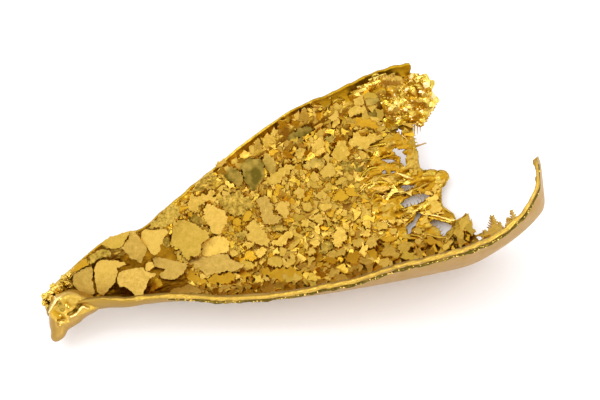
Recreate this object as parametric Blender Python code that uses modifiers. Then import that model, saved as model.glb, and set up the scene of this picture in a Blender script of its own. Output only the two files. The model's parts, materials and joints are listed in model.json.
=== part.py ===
"""Gold crystal: a half shell of gold that lined a drawn glass ampoule, its hollow crowded with crystal plates.

The specimen grew in one piece, so it is one closed solid and one node, gold_crystal. It is drawn in the
"look" frame, as seen by somebody looking straight into the hollow: x runs along the shell's axis from the
sealed tip to the open end, y runs across to the far side and z points to the eye, with the axis at y = z = 0.
The finished object is then turned and moved so that it rests on its belly with the hollow facing up.
"""

import math
import random

import bmesh
import bpy
from mathutils import Matrix, Vector, noise

MM = 0.001  # every size below is in millimetres

# The wall, a surface of revolution. Each row: place along the axis, outer radius, and how far the wall
# climbs on the far and on the near side, in degrees from its lowest line.
STATIONS = (
    (0.1, 1.35, 32, 96),
    (1.1, 1.60, 54, 106),
    (2.4, 1.85, 72, 111),
    (3.6, 2.10, 85, 110),
    (4.8, 2.35, 99, 103),
    (6.1, 2.74, 106, 95),
    (7.5, 2.97, 96, 90),
    (9.2, 3.35, 83, 86),
    (11.0, 3.98, 87, 79),
    (13.0, 4.83, 87, 75),
    (15.6, 5.70, 90, 74),
    (18.0, 6.38, 95, 76),
    (20.5, 6.97, 99, 80),
    (23.2, 7.50, 102, 82),
    (26.0, 8.02, 95, 89),
    (29.0, 8.50, 93, 90),
    (31.8, 8.82, 88, 90),
    (34.4, 8.45, 84, 86),
    (36.6, 7.80, 80, 86),
    (38.3, 6.95, 80, 99),
    (38.75, 6.35, 80, 102),
    (39.05, 5.30, 80, 105),
    (39.35, 4.20, 80, 108),
    (39.5, 3.60, 80, 110),
)
SWAY = 0.25  # the drawn tip leans this far to the far side
SWAY_ENDS = 9.0  # and is straight from here on
WALL = 0.46  # wall thickness
FINGER_WALL = 0.34  # at the thin finger's end
THICKEST = 0.56  # no part of the wall is thicker
RIPPLE = 0.08  # unevenness of the grown inner face
RAGGED = 2.5  # degrees by which the torn rims wander
LOOK_ROLL = 29.5  # degrees between the level rims and the eye
PITCH = 10.5  # degrees that the axis rises towards the open end when the belly lies flat
FLAT_DEPTH = 0.16  # the belly is worn flat this deep where it rests
WALL_STEPS_ALONG = 36
WALL_STEPS_ROUND = 14

# What is missing at the open end, drawn looking into the hollow: from the far corner down the torn edge,
# along the inside of the finger, and back outside.
OPEN_END = (
    (32.9, 9.5), (32.95, 7.2), (33.3, 6.5), (33.6, 6.0), (33.6, 5.2), (33.4, 4.2), (32.9, 3.2),
    (31.9, 2.5), (31.4, 3.0), (31.3, 2.2), (31.1, 1.5), (31.05, 0.6), (30.85, -0.2), (30.75, -0.6),
    (31.3, -0.85), (32.0, -1.2), (32.65, -1.5),
    (32.7, -1.9), (32.4, -2.25), (31.85, -2.55), (31.6, -3.2), (31.4, -3.9), (31.6, -4.35),
    (31.95, -4.8), (32.0, -5.3), (32.5, -5.2), (32.95, -5.1), (33.0, -5.6), (32.85, -6.4),
    (33.0, -6.85), (34.0, -6.95), (35.5, -6.95), (36.7, -6.85), (37.3, -6.35), (38.0, -5.6),
    (38.5, -4.95), (38.8, -4.2), (38.9, -3.0), (38.9, -1.5), (42.0, -1.5), (42.0, 9.5),
)
# What is missing below the finger, drawn from the near side as places along and heights to the eye.
UNDER_FINGER = (
    (33.0, -12.0), (33.0, -5.6), (34.2, -4.0), (35.6, -3.0), (37.2, -2.0), (38.4, -0.8), (39.0, 0.3),
    (39.3, 1.0), (41.0, 1.3), (42.0, -12.0),
)
LACE_HOLES = (
    ((30.1, 2.8), (30.35, 2.95), (30.55, 2.7), (30.35, 2.4), (30.15, 2.5)),
    ((29.3, 1.55), (29.75, 1.6), (30.15, 1.2), (29.95, 0.4), (29.9, 0.0), (29.6, 0.3), (29.45, 1.0)),
    ((28.3, 1.1), (28.9, 0.95), (29.2, 0.6), (28.8, 0.45), (28.5, 0.8)),
    ((28.6, -1.3), (29.4, -1.35), (30.0, -1.5), (29.9, -1.7), (29.2, -1.7), (28.7, -1.55)),
    ((28.5, -2.75), (29.3, -2.6), (30.2, -2.45), (30.7, -2.7), (30.6, -2.95), (29.6, -3.1), (28.6, -2.95)),
    ((28.25, -4.9), (28.35, -4.4), (29.0, -4.15), (29.55, -3.65), (29.6, -3.95), (29.1, -4.4), (28.6, -4.75)),
    ((30.1, -4.8), (30.45, -4.75), (31.0, -5.1), (31.7, -5.5), (30.9, -5.85), (30.5, -5.7), (30.3, -5.2)),
    ((32.9, -7.05), (33.3, -7.1), (33.4, -7.35), (33.1, -7.4)),
)

# The large crystal plates, each drawn looking into the hollow, with its height over the wall first.
PLATES = (
    (0.45, ((2.8, 1.1), (4.4, 1.3), (4.5, 0.9), (4.1, -0.7), (3.5, -0.75), (2.9, 0.0), (2.7, 0.5))),
    (0.75, ((4.6, 1.2), (5.1, 1.4), (5.5, 1.5), (6.0, 1.15), (6.6, 1.0), (7.0, 0.65), (6.4, 0.45),
            (6.2, 0.0), (5.7, -0.5), (5.1, -0.75), (4.7, -0.9), (4.25, -0.5), (4.4, 0.3))),
    (0.35, ((5.8, 2.45), (6.3, 2.7), (7.3, 2.75), (8.1, 2.7), (7.5, 2.15), (7.1, 1.9), (6.3, 2.0))),
    (0.65, ((7.05, 1.85), (7.6, 2.1), (8.25, 2.6), (8.6, 2.3), (8.75, 1.7), (9.0, 1.25), (8.8, 0.8),
            (8.4, 0.6), (8.15, 0.2), (7.8, 0.6), (7.45, 1.2))),
    (0.85, ((6.2, 0.0), (6.7, 0.1), (8.2, -0.1), (8.3, -0.6), (8.9, -1.0), (8.3, -1.25), (7.9, -1.75),
            (7.55, -2.1), (7.1, -2.1), (6.75, -1.5), (6.1, -1.0), (6.05, -0.5))),
    (0.90, ((9.0, 2.3), (9.4, 2.5), (10.1, 2.2), (10.9, 2.0), (10.95, 1.6), (10.4, 1.4), (10.1, 0.9),
            (9.8, 0.4), (9.25, 0.5), (9.1, 1.2), (8.85, 1.6))),
    (1.00, ((11.35, 1.9), (12.0, 2.25), (12.7, 2.1), (13.15, 1.6), (13.4, 1.05), (13.9, 0.6),
            (13.7, 0.05), (13.0, -0.1), (12.7, -0.65), (12.15, -0.65), (11.6, -0.85), (11.35, -0.4),
            (11.2, 0.3), (10.75, 0.6), (11.0, 1.1))),
    (1.05, ((14.4, 2.6), (15.0, 2.4), (15.35, 1.8), (15.6, 1.35), (15.4, 0.9), (15.0, 0.5),
            (14.65, 0.15), (14.0, 0.45), (14.05, 1.1), (13.9, 1.9), (14.1, 2.4))),
    (1.05, ((13.1, -0.15), (13.8, 0.1), (14.3, 0.25), (14.6, -0.1), (15.0, -0.4), (15.15, -0.8),
            (14.85, -1.3), (13.9, -1.2), (12.95, -1.1), (12.8, -0.65))),
    (0.95, ((11.6, -1.1), (12.3, -0.9), (13.5, -1.25), (14.4, -1.4), (14.6, -1.95), (15.1, -2.4),
            (15.6, -2.75), (14.6, -2.95), (13.7, -2.6), (12.5, -2.5), (12.3, -2.0), (11.8, -1.6))),
    (0.90, ((9.1, 0.2), (9.6, 0.1), (10.2, -0.3), (10.9, -0.8), (11.4, -1.1), (11.1, -1.6),
            (10.5, -1.9), (9.75, -1.75), (9.15, -1.3), (9.7, -0.9), (9.3, -0.45))),
    (0.60, ((8.3, -0.3), (8.7, 0.05), (9.1, -0.2), (8.9, -0.6), (8.4, -0.6))),
    (0.60, ((13.3, 3.4), (13.7, 3.75), (14.0, 3.3), (14.8, 3.4), (15.5, 3.5), (15.2, 3.1), (14.4, 3.0),
            (13.9, 2.75), (13.4, 2.4), (13.0, 2.8), (12.9, 3.2))),
    (0.90, ((16.6, 4.65), (17.0, 4.75), (17.3, 4.4), (17.75, 4.0), (17.7, 3.4), (17.4, 3.0),
            (16.9, 3.1), (16.7, 3.6), (16.4, 3.8))),
    (1.10, ((17.8, 4.6), (18.4, 4.8), (19.0, 4.6), (19.4, 4.3), (19.6, 3.9), (19.4, 3.2), (18.9, 2.9),
            (18.5, 2.5), (18.1, 2.35), (18.0, 3.0), (17.7, 3.6))),
    (0.80, ((19.9, 4.85), (20.4, 4.6), (20.6, 4.0), (20.45, 3.5), (20.1, 3.1), (19.7, 3.3),
            (19.65, 4.2))),
    (0.75, ((19.1, 2.5), (19.7, 2.9), (20.4, 3.1), (21.1, 3.4), (22.0, 3.2), (21.7, 2.85),
            (21.0, 2.75), (20.6, 2.4), (20.1, 2.1), (19.5, 2.2))),
    (0.50, ((19.35, 5.5), (20.0, 5.95), (20.3, 5.8), (21.1, 5.95), (21.15, 5.4), (20.6, 5.1),
            (19.7, 5.1))),
    (0.90, ((18.2, 1.6), (18.9, 1.7), (19.05, 1.0), (19.0, 0.2), (19.5, -0.3), (19.2, -0.6),
            (18.6, -0.7), (18.1, -0.1), (18.1, 0.6))),
    (0.85, ((19.2, 0.4), (19.7, 0.8), (20.45, 0.6), (20.3, 0.1), (20.1, -0.4), (19.7, -0.5),
            (19.5, 0.0))),
    (0.80, ((16.6, -0.7), (17.3, 0.2), (17.6, -0.3), (17.9, -1.0), (17.9, -1.85), (17.3, -1.7),
            (16.8, -1.45), (16.3, -1.1))),
    (0.80, ((16.7, -2.0), (17.1, -1.8), (17.6, -2.2), (17.3, -2.5), (16.8, -2.7), (16.5, -2.3))),
    (0.80, ((17.3, -3.0), (17.8, -2.75), (18.3, -3.1), (18.2, -3.6), (17.9, -3.9), (17.5, -3.6),
            (17.2, -3.4))),
    (0.75, ((18.4, -3.7), (19.1, -3.1), (19.4, -3.3), (19.2, -3.9), (18.7, -4.1))),
    (0.70, ((18.1, -2.0), (18.9, -1.9), (19.5, -1.4), (20.0, -1.2), (20.0, -1.7), (19.3, -2.1),
            (18.4, -2.3))),
    (0.60, ((15.8, 0.6), (16.1, 0.9), (16.6, 0.8), (16.6, 0.3), (16.2, 0.1), (15.85, 0.25))),
    (0.60, ((16.7, 0.6), (17.0, 1.0), (17.5, 1.1), (17.4, 0.6), (17.1, 0.35), (16.75, 0.4))),
    (0.65, ((21.2, 0.0), (22.0, 0.1), (22.1, -0.4), (21.7, -0.65), (21.3, -0.4))),
    (0.80, ((22.5, -3.1), (23.0, -2.75), (23.3, -2.4), (23.6, -3.0), (23.5, -3.7), (23.0, -4.0),
            (22.5, -3.8))),
    (0.60, ((21.0, 1.1), (21.4, 1.4), (21.9, 1.2), (21.9, 0.7), (21.4, 0.5), (21.0, 0.7))),
    (0.75, ((22.4, 2.9), (23.5, 3.0), (24.0, 2.7), (23.6, 2.3), (22.6, 2.5))),
    (0.75, ((23.5, 1.7), (23.9, 2.1), (24.4, 2.3), (24.7, 1.9), (24.6, 1.4), (24.0, 1.3), (23.5, 1.45))),
    (0.90, ((24.8, 2.9), (25.3, 3.4), (25.9, 3.5), (26.1, 3.0), (26.0, 2.4), (25.6, 2.1), (25.1, 2.3))),
    (0.70, ((23.7, 4.3), (24.3, 4.5), (24.9, 4.85), (24.8, 4.2), (24.6, 3.7), (24.0, 3.5), (23.6, 3.9))),
    (0.85, ((26.4, 3.2), (26.9, 3.55), (27.1, 3.9), (27.5, 3.4), (28.2, 3.25), (29.0, 3.0),
            (28.5, 2.7), (27.9, 2.4), (27.2, 2.5), (26.8, 2.9))),
    (0.55, ((27.2, 5.0), (27.3, 5.7), (27.7, 6.0), (28.2, 5.8), (28.5, 5.3), (28.1, 5.0))),
    (0.45, ((25.6, 5.6), (26.0, 6.0), (26.4, 5.8), (26.3, 5.2), (25.7, 5.1))),
    (0.70, ((23.7, -0.4), (24.3, -0.1), (25.2, 0.0), (25.5, -0.5), (25.8, -0.9), (25.0, -0.85),
            (24.0, -0.8))),
    (0.70, ((24.6, -4.3), (25.3, -3.6), (25.7, -3.9), (25.8, -4.4), (25.6, -4.9), (25.1, -4.9))),
    (0.75, ((25.4, -5.7), (26.1, -5.3), (26.7, -5.2), (26.95, -5.7), (26.7, -6.1), (26.1, -5.95))),
    (0.75, ((27.05, -5.7), (27.4, -5.2), (28.0, -5.4), (28.3, -5.7), (27.8, -6.1), (27.3, -6.15))),
    (0.65, ((23.0, -4.8), (23.9, -4.7), (24.1, -5.2), (24.6, -5.3), (24.3, -5.7), (23.2, -5.5))),
    (0.65, ((26.0, -3.5), (26.5, -3.1), (27.0, -3.6), (26.7, -4.0), (26.1, -3.9))),
    (0.65, ((21.5, -1.1), (22.2, -1.0), (22.6, -1.5), (22.3, -1.8), (21.9, -1.9), (21.6, -1.6))),
    (0.60, ((12.5, -2.75), (13.7, -2.75), (14.5, -3.0), (14.3, -3.4), (13.6, -3.5), (12.7, -3.3))),
    (0.60, ((14.7, -3.05), (15.3, -3.1), (15.8, -3.5), (15.2, -3.75), (14.8, -3.5))),
    (0.60, ((15.9, -3.9), (16.7, -3.6), (17.3, -3.7), (17.8, -4.2), (18.2, -4.65), (17.4, -4.55),
            (16.6, -4.2))),
    (0.45, ((9.5, -2.5), (10.2, -2.4), (10.9, -2.7), (11.5, -2.95), (11.7, -3.3), (11.1, -3.3),
            (10.3, -3.0))),
    (0.40, ((16.0, -4.9), (16.6, -4.8), (17.0, -5.0), (16.9, -5.35), (16.3, -5.2))),
)
PLATE_FOOT = 0.62  # a plate stands on a foot this much narrower than itself
PLATE_FACING = 0.45  # 0 lies along the wall, 1 faces the eye

FLAKE_COUNT = 52  # small plates that crowd the wide end
FLAKE_SEED = 11

# Round lumps: where each one sits looking into the hollow, how high its middle is over the wall, its radius.
LUMPS = (
    (0.25, 0.15, 0.85, 0.44), (0.50, 0.42, 0.75, 0.38), (0.20, -0.35, 0.70, 0.42), (0.80, 0.10, 0.60, 0.36),
    (1.20, 0.72, 0.60, 0.36), (1.65, 0.60, 0.50, 0.42), (1.95, 1.00, 0.60, 0.32), (2.40, 0.72, 0.55, 0.36),
    (0.85, -0.70, 0.30, 0.42), (1.75, -0.75, 0.30, 0.34), (2.70, 1.20, 0.40, 0.30),
    (32.60, 6.70, 0.00, 0.50), (33.40, 6.30, 0.10, 0.52), (33.80, 5.75, 0.15, 0.50), (33.80, 5.00, 0.20, 0.56),
    (33.55, 4.30, 0.20, 0.50), (33.35, 3.65, 0.25, 0.48), (32.75, 3.20, 0.25, 0.46), (32.10, 2.60, 0.20, 0.42),
    (32.50, 5.70, 0.25, 0.50), (31.60, 6.40, 0.15, 0.42), (32.60, 4.60, 0.30, 0.46),
    (26.55, 6.30, 0.05, 0.38), (30.00, 6.95, 0.05, 0.32), (26.80, 5.30, 0.10, 0.30),
)
# Fern-like teeth on the torn edges, drawn looking into the hollow.
TEETH = (
    ((33.3, -7.35), (33.45, -7.0), (33.9, -6.95), (34.0, -6.5), (34.3, -6.4), (34.65, -5.95), (34.75, -6.4),
     (34.65, -6.8), (35.1, -6.9), (35.2, -7.3)),
    ((35.3, -7.15), (35.3, -6.75), (35.75, -6.6), (36.0, -6.1), (36.3, -6.1), (36.25, -6.6), (36.6, -6.85),
     (36.5, -7.15)),
    ((31.9, -6.3), (32.0, -5.45), (32.45, -5.25), (32.95, -5.05), (33.05, -5.6), (32.8, -6.3)),
    ((30.5, 1.55), (31.3, 1.25), (32.0, 1.05), (31.4, 0.85), (30.6, 0.65)),
)
TOOTH_DEEP = 0.5  # how deep a tooth goes, to the eye

# The lip of the sealed tip, drawn looking into the hollow; it hooks down to the near side.
NIB = (
    (0.05, -0.7), (0.0, -1.5), (-0.22, -2.1), (-0.33, -2.7), (-0.22, -3.05), (0.1, -3.15), (0.8, -3.05),
    (1.05, -2.65), (1.5, -2.42), (2.2, -2.35), (2.75, -2.1), (3.4, -1.9), (3.3, -1.25), (1.6, -1.2), (0.6, -0.7),
)
NIB_LEVELS = ((-0.95, 0.72), (-0.45, 0.97), (0.15, 1.0), (0.55, 0.80))  # heights to the eye, share of its size


def smooth_rows(rows, share):
    """The row at a share of the way along rows, by a cubic through them, spaced by the way from row to row."""
    spots = [0.0]
    for a, b in zip(rows, rows[1:]):
        spots.append(spots[-1] + math.hypot(b[0] - a[0], b[1] - a[1]))
    at = share * spots[-1]
    i = min(max(k for k, spot in enumerate(spots) if spot <= at + 1e-9), len(rows) - 2)
    span = spots[i + 1] - spots[i]
    t = (at - spots[i]) / span

    def slope(k, column):
        lo, hi = max(k - 1, 0), min(k + 1, len(rows) - 1)
        return (rows[hi][column] - rows[lo][column]) / (spots[hi] - spots[lo]) * span

    return [
        (2 * t**3 - 3 * t**2 + 1) * rows[i][c] + (t**3 - 2 * t**2 + t) * slope(i, c)
        + (3 * t**2 - 2 * t**3) * rows[i + 1][c] + (t**3 - t**2) * slope(i + 1, c)
        for c in range(len(rows[0]))
    ]


def sway(along):
    """How far the axis of the drawn tip lies to the far side."""
    t = min(max(along / SWAY_ENDS, 0.0), 1.0)
    return SWAY * math.cos(t * math.pi / 2)


def wall_point(share, side):
    """A point of the outer surface. side runs from -1 at the near rim to 1 at the far one."""
    along, radius, far, near = smooth_rows(STATIONS, share)
    ragged = RAGGED * side**6 * noise.noise(Vector((along * 0.9, side * 3, 0)))
    turn = math.radians((far if side > 0 else near) * side + ragged - LOOK_ROLL)
    return Vector((along, radius * math.sin(turn) + sway(along), -radius * math.cos(turn)))


def radius_at(along):
    """The outer radius at a place along the axis, up to the widest station."""
    for a, b in zip(STATIONS, STATIONS[1:]):
        if along <= b[0]:
            return a[1] + (b[1] - a[1]) * max(along - a[0], 0.0) / (b[0] - a[0])
    return STATIONS[-1][1]


def height_at(along, across, depth):
    """The height to the eye of the wall under a point drawn looking into the hollow, depth in from outside."""
    radius = radius_at(along) - depth
    return -math.sqrt(max(radius**2 - (across - sway(along))**2, (0.25 * radius) ** 2))


def facing_at(along, across):
    """The direction in which a plate that grew there faces: between straight off the wall and the eye."""
    off = Vector((0, -(across - sway(along)), -height_at(along, across, WALL))).normalized()
    return off.lerp(Vector((0, 0, 1)), PLATE_FACING).normalized()


def add_object(name, bm, collection):
    """Makes an object of a bmesh that is drawn in millimetres."""
    bmesh.ops.scale(bm, vec=Vector((MM, MM, MM)), verts=bm.verts)
    bmesh.ops.recalc_face_normals(bm, faces=bm.faces)
    mesh = bpy.data.meshes.new(name)
    bm.to_mesh(mesh)
    bm.free()
    made = bpy.data.objects.new(name, mesh)
    collection.objects.link(made)
    return made


def add_collection(name):
    made = bpy.data.collections.new(name)
    bpy.context.scene.collection.children.link(made)
    return made


def gold():
    """Bare gold, satin where it grew on glass and brighter on its crystal faces."""
    material = bpy.data.materials.new("gold")
    material.use_nodes = True
    shader = material.node_tree.nodes["Principled BSDF"]
    shader.inputs["Base Color"].default_value = (0.83, 0.56, 0.13, 1.0)
    shader.inputs["Metallic"].default_value = 1.0
    shader.inputs["Roughness"].default_value = 0.32
    return material


def build_wall(collection):
    """The shell: a flat grid bent round the axis and thickened inwards, unevenly, by vertex weights."""
    bm = bmesh.new()
    bmesh.ops.create_grid(bm, x_segments=WALL_STEPS_ALONG, y_segments=WALL_STEPS_ROUND, size=1.0)
    thick = []
    for v in bm.verts:
        share, side = (v.co.x + 1) / 2, v.co.y
        v.co = wall_point(share, side)
        thin_end = max(share - 0.75, 0.0) / 0.25
        uneven = RIPPLE * noise.noise(v.co * 0.9) * (1 - side**4)
        thick.append(WALL + (FINGER_WALL - WALL) * thin_end + uneven)
    wall = add_object("gold_crystal", bm, collection)
    group = wall.vertex_groups.new(name="thickness")
    for index, value in enumerate(thick):
        group.add([index], min(value / THICKEST, 1.0), "REPLACE")
    solid = wall.modifiers.new("wall", "SOLIDIFY")
    solid.thickness = THICKEST * MM
    solid.offset = -1.0
    solid.vertex_group = group.name
    solid.use_even_offset = True
    wall.data.materials.append(gold())
    return wall


def prism(name, outline, lowest, highest, turned, collection):
    """A cutter: an outline extruded to the eye, or, when turned, from the near side to the far one."""
    bm = bmesh.new()
    corners = [bm.verts.new((x, lowest, y) if turned else (x, y, lowest)) for x, y in outline]
    face = bm.faces.new(corners)
    top = bmesh.ops.extrude_face_region(bm, geom=[face])
    way = Vector((0, highest - lowest, 0)) if turned else Vector((0, 0, highest - lowest))
    bmesh.ops.translate(bm, vec=way, verts=[v for v in top["geom"] if isinstance(v, bmesh.types.BMVert)])
    made = add_object(name, bm, collection)
    made.hide_render = True
    made.display_type = "WIRE"
    return made


def plate(name, outline, rise, facing, collection):
    """A crystal plate: a flat top as drawn, on a narrower foot that is rooted in the wall."""
    middle = sum((Vector((x, y)) for x, y in outline), Vector((0, 0))) / len(outline)
    base = height_at(middle.x, middle.y, WALL)
    top_height = base + rise / max(facing.z, 0.5)
    bm = bmesh.new()
    top, foot = [], []
    for x, y in outline:
        step = Vector((x, y)) - middle
        tilt = -(facing.x * step.x + facing.y * step.y) / facing.z
        top.append(bm.verts.new((x, y, top_height + tilt)))
        low = middle + step * PLATE_FOOT
        foot.append(bm.verts.new((low.x, low.y, height_at(low.x, low.y, WALL * 0.55))))
    bm.faces.new(top)
    bm.faces.new(list(reversed(foot)))
    for i in range(len(outline)):
        j = (i + 1) % len(outline)
        bm.faces.new((top[j], top[i], foot[i], foot[j]))
    bmesh.ops.triangulate(bm, faces=[f for f in bm.faces if len(f.verts) == 4])
    return add_object(name, bm, collection)


def inside(point, outline):
    """Whether a drawn point lies inside an outline."""
    found = False
    for (x0, y0), (x1, y1) in zip(outline, outline[1:] + outline[:1]):
        if (y0 > point[1]) != (y1 > point[1]):
            found ^= point[0] < (x1 - x0) * (point[1] - y0) / (y1 - y0) + x0
    return found


def add_flakes(collection):
    """Small plates with five to seven corners, thrown over the wide end where no large plate lies."""
    draw = random.Random(FLAKE_SEED)
    taken = [outline for _, outline in PLATES] + list(LACE_HOLES) + [OPEN_END]
    spots = []
    while len(spots) < FLAKE_COUNT:
        along = draw.uniform(15.0, 32.0)
        across = draw.uniform(-0.88, 0.8) * radius_at(along)
        size = draw.uniform(0.34, 0.62)
        ring = [(along, across)] + [
            (along + size * math.cos(k * math.tau / 6), across + size * math.sin(k * math.tau / 6)) for k in range(6)
        ]
        if any(inside(p, outline) for p in ring for outline in taken):
            continue
        if any(math.hypot(along - a, across - b) < 0.8 * (size + s) for a, b, s in spots):
            continue
        spots.append((along, across, size))
        corners = draw.randint(5, 7)
        start = draw.uniform(0, math.tau)
        outline = [
            (
                along + size * draw.uniform(0.75, 1.2) * math.cos(start + k * math.tau / corners),
                across + size * draw.uniform(0.75, 1.2) * math.sin(start + k * math.tau / corners),
            )
            for k in range(corners)
        ]
        lean = Vector((draw.uniform(-0.3, 0.3), draw.uniform(-0.3, 0.3), 0))
        facing = (facing_at(along, across) + lean).normalized()
        plate(f"flake_{len(spots):02d}", outline, draw.uniform(0.25, 0.6), facing, collection)


def add_lump(name, along, across, rise, radius, collection):
    """A round lump that grew as a rough many-faced bead."""
    bm = bmesh.new()
    bmesh.ops.create_icosphere(bm, subdivisions=1, radius=radius)
    middle = Vector((along, across, height_at(along, across, WALL) + rise))
    for v in bm.verts:
        v.co *= 1 + 0.25 * noise.noise(v.co * 3 / radius + middle)
        if v.co.z < 0:
            v.co.z *= 1 + max(rise, 0.0) / radius
        v.co += middle
    return add_object(name, bm, collection)


def add_tooth(name, outline, collection):
    """A tooth of the torn edge: its outline with an even thickness, set at the height of its root."""
    along = sum(p[0] for p in outline) / len(outline)
    root = min(outline, key=lambda p: abs(p[1] + 9))[1] if outline[0][1] < 0 else outline[0][1]
    height = height_at(along, root, WALL / 2)
    bm = bmesh.new()
    face = bm.faces.new([bm.verts.new((x, y, height - TOOTH_DEEP / 2)) for x, y in outline])
    top = bmesh.ops.extrude_face_region(bm, geom=[face])
    lifted = [v for v in top["geom"] if isinstance(v, bmesh.types.BMVert)]
    bmesh.ops.translate(bm, vec=Vector((0, 0, TOOTH_DEEP)), verts=lifted)
    return add_object(name, bm, collection)


def add_nib(collection):
    """The hooked lip: rings of its outline, widest in the middle heights, bridged into one closed body."""
    middle = Vector((1.0, -1.7))
    bm = bmesh.new()
    rings = []
    for height, share in NIB_LEVELS:
        spots = [middle + (Vector(p) - middle) * share for p in NIB]
        rings.append([bm.verts.new((p.x, p.y, height)) for p in spots])
    bm.faces.new(rings[0])
    bm.faces.new(list(reversed(rings[-1])))
    for low, high in zip(rings, rings[1:]):
        for i in range(len(NIB)):
            j = (i + 1) % len(NIB)
            bm.faces.new((low[i], low[j], high[j], high[i]))
    bmesh.ops.recalc_face_normals(bm, faces=bm.faces)
    return add_object("nib", bm, collection)


def use_cutters(crystal, name, collection, operation):
    """A Boolean of every object in a collection; those objects are only drawn as wires."""
    for piece in collection.objects:
        piece.hide_render = True
        piece.display_type = "WIRE"
    boolean = crystal.modifiers.new(name, "BOOLEAN")
    boolean.operation = operation
    boolean.solver = "EXACT"
    boolean.operand_type = "COLLECTION"
    boolean.collection = collection


def lowest_of_wall():
    """How low the wall's belly reaches once it is turned, in millimetres."""
    turn = resting_turn()
    return min((turn @ wall_point(k / 200, j / 40)).z for k in range(201) for j in range(-20, 21))


def resting_turn():
    """The turn from the look frame to the resting pose."""
    return Matrix.Rotation(math.radians(-PITCH), 3, "Y") @ Matrix.Rotation(math.radians(LOOK_ROLL), 3, "X")


def add_ground(collection):
    """A block whose top wears the belly flat."""
    top = (lowest_of_wall() + FLAT_DEPTH) * MM
    bpy.ops.mesh.primitive_cube_add(size=1, location=(25 * MM, 0, top - 2 * MM), scale=(60 * MM, 30 * MM, 4 * MM))
    ground = bpy.context.object
    ground.name = "ground"
    for other in list(ground.users_collection):
        other.objects.unlink(ground)
    collection.objects.link(ground)


def stand_on_origin(crystal, pieces):
    """Moves everything so that the middle of the specimen's footprint, at its lowest, is the origin."""
    seen = crystal.evaluated_get(bpy.context.evaluated_depsgraph_get())
    spots = [crystal.matrix_world @ v.co for v in seen.data.vertices]
    low = [min(p[i] for p in spots) for i in range(3)]
    high = [max(p[i] for p in spots) for i in range(3)]
    for piece in pieces:
        piece.location.x -= (low[0] + high[0]) / 2
        piece.location.y -= (low[1] + high[1]) / 2
        piece.location.z -= low[2]


def main():
    for old in list(bpy.data.objects):
        bpy.data.objects.remove(old)
    specimen = add_collection("gold_crystal")
    growth = add_collection("growth")
    torn = add_collection("torn")
    worn = add_collection("worn")
    crystal = build_wall(specimen)
    for k, (rise, outline) in enumerate(PLATES):
        middle = [sum(p[i] for p in outline) / len(outline) for i in (0, 1)]
        plate(f"plate_{k:02d}", outline, rise, facing_at(*middle), growth)
    add_flakes(growth)
    for k, lump in enumerate(LUMPS):
        add_lump(f"lump_{k:02d}", *lump, growth)
    for k, outline in enumerate(TEETH):
        add_tooth(f"tooth_{k}", outline, growth)
    add_nib(growth)
    prism("open_end", OPEN_END, -12.0, 8.0, False, torn)
    prism("under_finger", UNDER_FINGER, -12.0, -1.0, True, torn)
    for k, outline in enumerate(LACE_HOLES):
        prism(f"lace_hole_{k}", outline, -12.0, -1.0, False, torn)
    drawn = [*specimen.objects, *growth.objects, *torn.objects]
    for piece in drawn:
        piece.rotation_euler = (math.radians(LOOK_ROLL), math.radians(-PITCH), 0)
    add_ground(worn)
    use_cutters(crystal, "torn away", torn, "DIFFERENCE")
    use_cutters(crystal, "grown on", growth, "UNION")
    use_cutters(crystal, "worn flat", worn, "DIFFERENCE")
    stand_on_origin(crystal, [*drawn, *worn.objects])


main()
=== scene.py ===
# %% [markdown]
# # A gold crystal that grew inside a glass ampoule
# The specimen is one piece of native gold, about 39 mm long. Vapour laid it down on the inside of the
# drawn end of a round glass ampoule, so its outer face is smooth and its hollow is crowded with flat
# crystals. One end is the ampoule's sealed tip. The other end is torn open into lace, and a strip of the
# ampoule's rounded end curls up there as a thin finger.
#
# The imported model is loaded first. It is never moved: the pieces below are made around its box.

# %% Load the frame
import functools
import json
import math
import random

import bmesh
import bpy
from mathutils import Matrix, Vector, noise
from mathutils.geometry import intersect_line_line_2d

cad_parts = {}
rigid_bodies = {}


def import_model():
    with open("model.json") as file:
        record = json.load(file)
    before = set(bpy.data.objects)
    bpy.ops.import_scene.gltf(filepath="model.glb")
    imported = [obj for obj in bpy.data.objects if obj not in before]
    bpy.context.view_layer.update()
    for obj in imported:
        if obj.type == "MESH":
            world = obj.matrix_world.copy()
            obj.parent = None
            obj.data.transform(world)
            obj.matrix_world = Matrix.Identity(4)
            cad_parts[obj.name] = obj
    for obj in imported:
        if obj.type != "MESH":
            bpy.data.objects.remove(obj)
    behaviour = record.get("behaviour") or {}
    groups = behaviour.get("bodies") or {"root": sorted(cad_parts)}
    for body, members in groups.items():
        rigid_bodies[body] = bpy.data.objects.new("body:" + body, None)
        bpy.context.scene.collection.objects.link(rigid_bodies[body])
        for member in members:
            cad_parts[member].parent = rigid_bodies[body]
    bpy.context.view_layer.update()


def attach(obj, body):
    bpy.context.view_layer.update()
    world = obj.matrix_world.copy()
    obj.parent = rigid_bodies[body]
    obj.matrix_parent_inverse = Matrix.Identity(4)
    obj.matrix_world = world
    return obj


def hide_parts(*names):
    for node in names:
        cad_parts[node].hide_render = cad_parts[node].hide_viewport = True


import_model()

# %% [markdown]
# ## The frame that the growth is drawn in
# The crystals are drawn as somebody sees them who looks straight into the hollow: x runs along the
# ampoule's axis from the tip, y runs across to the far side and z points to the eye. It is easier to draw
# plates there than on a shell that lies tilted. Two turns and one move then lay everything down as the
# specimen rests. The values are millimetres and degrees, because the specimen is small.

# %% From the drawn frame to the resting one
MM = 0.001
LOOK_ROLL = 29.5  # between the level rims and the eye
PITCH = 10.5  # the axis rises this much towards the open end
REST_AT = Vector((-19.415, 0.0, 2.994))  # puts the middle of the footprint on the origin

ROLL = Matrix.Rotation(math.radians(LOOK_ROLL), 4, "X")
RISE = Matrix.Rotation(math.radians(-PITCH), 4, "Y")
LAY_DOWN = Matrix.Scale(MM, 4) @ Matrix.Translation(REST_AT) @ RISE @ ROLL


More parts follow.
